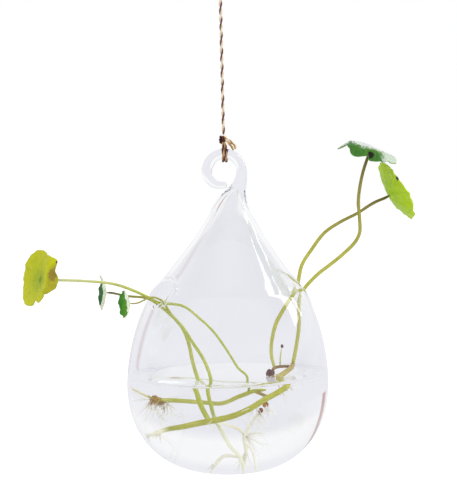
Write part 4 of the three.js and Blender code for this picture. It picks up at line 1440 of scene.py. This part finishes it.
def light_world():
    """White for the camera, even light for surfaces, and a room in greys as seen through glass.

    The room has a pale band a little above the water, and a reddish upright strip on one side.
    """
    world = bpy.data.worlds.new("studio")
    bpy.context.scene.world = world
    world.use_nodes = True
    world.node_tree.nodes.clear()
    nodes = Nodes(world.node_tree)
    x, y, z = nodes.parts(nodes.add("TexCoord").outputs["Generated"])
    greys = nodes.add("ValToRGB", nodes.math("ABSOLUTE", y))
    line = greys.color_ramp
    while len(line.elements) < len(ROOM_GREYS):
        line.elements.new(0.5)
    for element, (place, colour) in zip(line.elements, ROOM_GREYS):
        element.position = place
        element.color = (*colour, 1)
    over = nodes.scaled(z, 14.0, -1.0, clamp=True)
    under = nodes.scaled(z, -8.0, 3.6, clamp=True)
    lit = nodes.times(nodes.times(over, under), 0.8)
    seen = nodes.blend(lit, greys.outputs[0], (1.0, 1.0, 1.0))
    bearing = nodes.math("ARCTAN2", nodes.times(x, -1), y)
    strip = nodes.scaled(nodes.gap(bearing, STREAK_BEARING), -1 / STREAK_WIDTH, 2.2, clamp=True)
    level = nodes.scaled(nodes.gap(z, 0.1), -8.0, 4.6, clamp=True)
    seen = nodes.blend(nodes.times(strip, level), seen, STREAK_COLOUR)
    soft = nodes.add("Background", (0.75, 0.75, 0.75), 1.0)
    white = nodes.add("Background", (1, 1, 1), 1.0)
    glassy = nodes.add("Background", seen, 1.0)
    unseen = nodes.add("MixShader", nodes.seen_in_glass(), soft.outputs[0], glassy.outputs[0])
    camera_ray = nodes.add("LightPath").outputs["Is Camera Ray"]
    last = nodes.add("MixShader", camera_ray, unseen.outputs[0], white.outputs[0])
    nodes.add("OutputWorld", last.outputs[0])


def add_floor():
    deselect()
    bpy.ops.mesh.primitive_circle_add(
        vertices=64, radius=6, fill_type="NGON", location=(0, 0, FLOOR_Z)
    )
    floor = bpy.context.object
    floor.name = "studio_floor"
    material, nodes, shader = new_material(
        "pale_floor", Base_Color=(0.86, 0.86, 0.87), Roughness=1.0, Specular_IOR_Level=0.0
    )
    glassy = nodes.seen_in_glass()
    white = nodes.add("Emission", (1, 1, 1), 0.55)
    pale = nodes.add("Emission", (0.84, 0.84, 0.89), 1.0)
    shadowed = nodes.add("AddShader", shader.outputs[0], white.outputs[0])
    seen = nodes.add("MixShader", glassy, shadowed.outputs[0], pale.outputs[0])
    camera_ray = nodes.add("LightPath").outputs["Is Camera Ray"]
    shown = nodes.math("MAXIMUM", camera_ray, glassy)
    last = nodes.add("MixShader", shown, shader.outputs[0], seen.outputs[0])
    nodes.put(material.node_tree.nodes["Material Output"].inputs["Surface"], last.outputs[0])
    floor.data.materials.append(material)


def add_lamp(name, place, size, power, glare=False):
    """A soft panel aimed at the middle of the planter. Only a glare panel shows in the glass."""
    lamp = bpy.data.lights.new(name, "AREA")
    lamp.shape = "RECTANGLE"
    lamp.size, lamp.size_y = size
    lamp.energy = power
    piece = bpy.data.objects.new(name, lamp)
    bpy.context.scene.collection.objects.link(piece)
    place = Vector(place)
    turned = (MIDDLE - place).to_track_quat("-Z", "Y").to_matrix().to_4x4()
    piece.matrix_world = Matrix.Translation(place) @ turned
    piece.visible_glossy = glare
    piece.visible_transmission = False


light_world()
add_floor()
add_lamp("window_right", (0.9, -0.75, 0.05), (0.45, 0.9), 4.5)
add_lamp("overhead", (-0.3, -0.4, 0.9), (0.9, 0.9), 4.5)
add_lamp("left_fill", (-1.1, -0.5, 0.0), (0.6, 0.8), 2)
add_lamp("window_strip", MIDDLE + Vector((0.9, 0.19, 0.64)), (0.26, 0.75), 2.8, glare=True)
add_lamp("window_edge", MIDDLE + Vector((0.9, 0.43, 0.64)), (0.08, 0.75), 0.9, glare=True)

cycles = bpy.context.scene.cycles
cycles.max_bounces = 32
cycles.transmission_bounces = 32
cycles.transparent_max_bounces = 32
bpy.context.scene.view_settings.view_transform = "Standard"
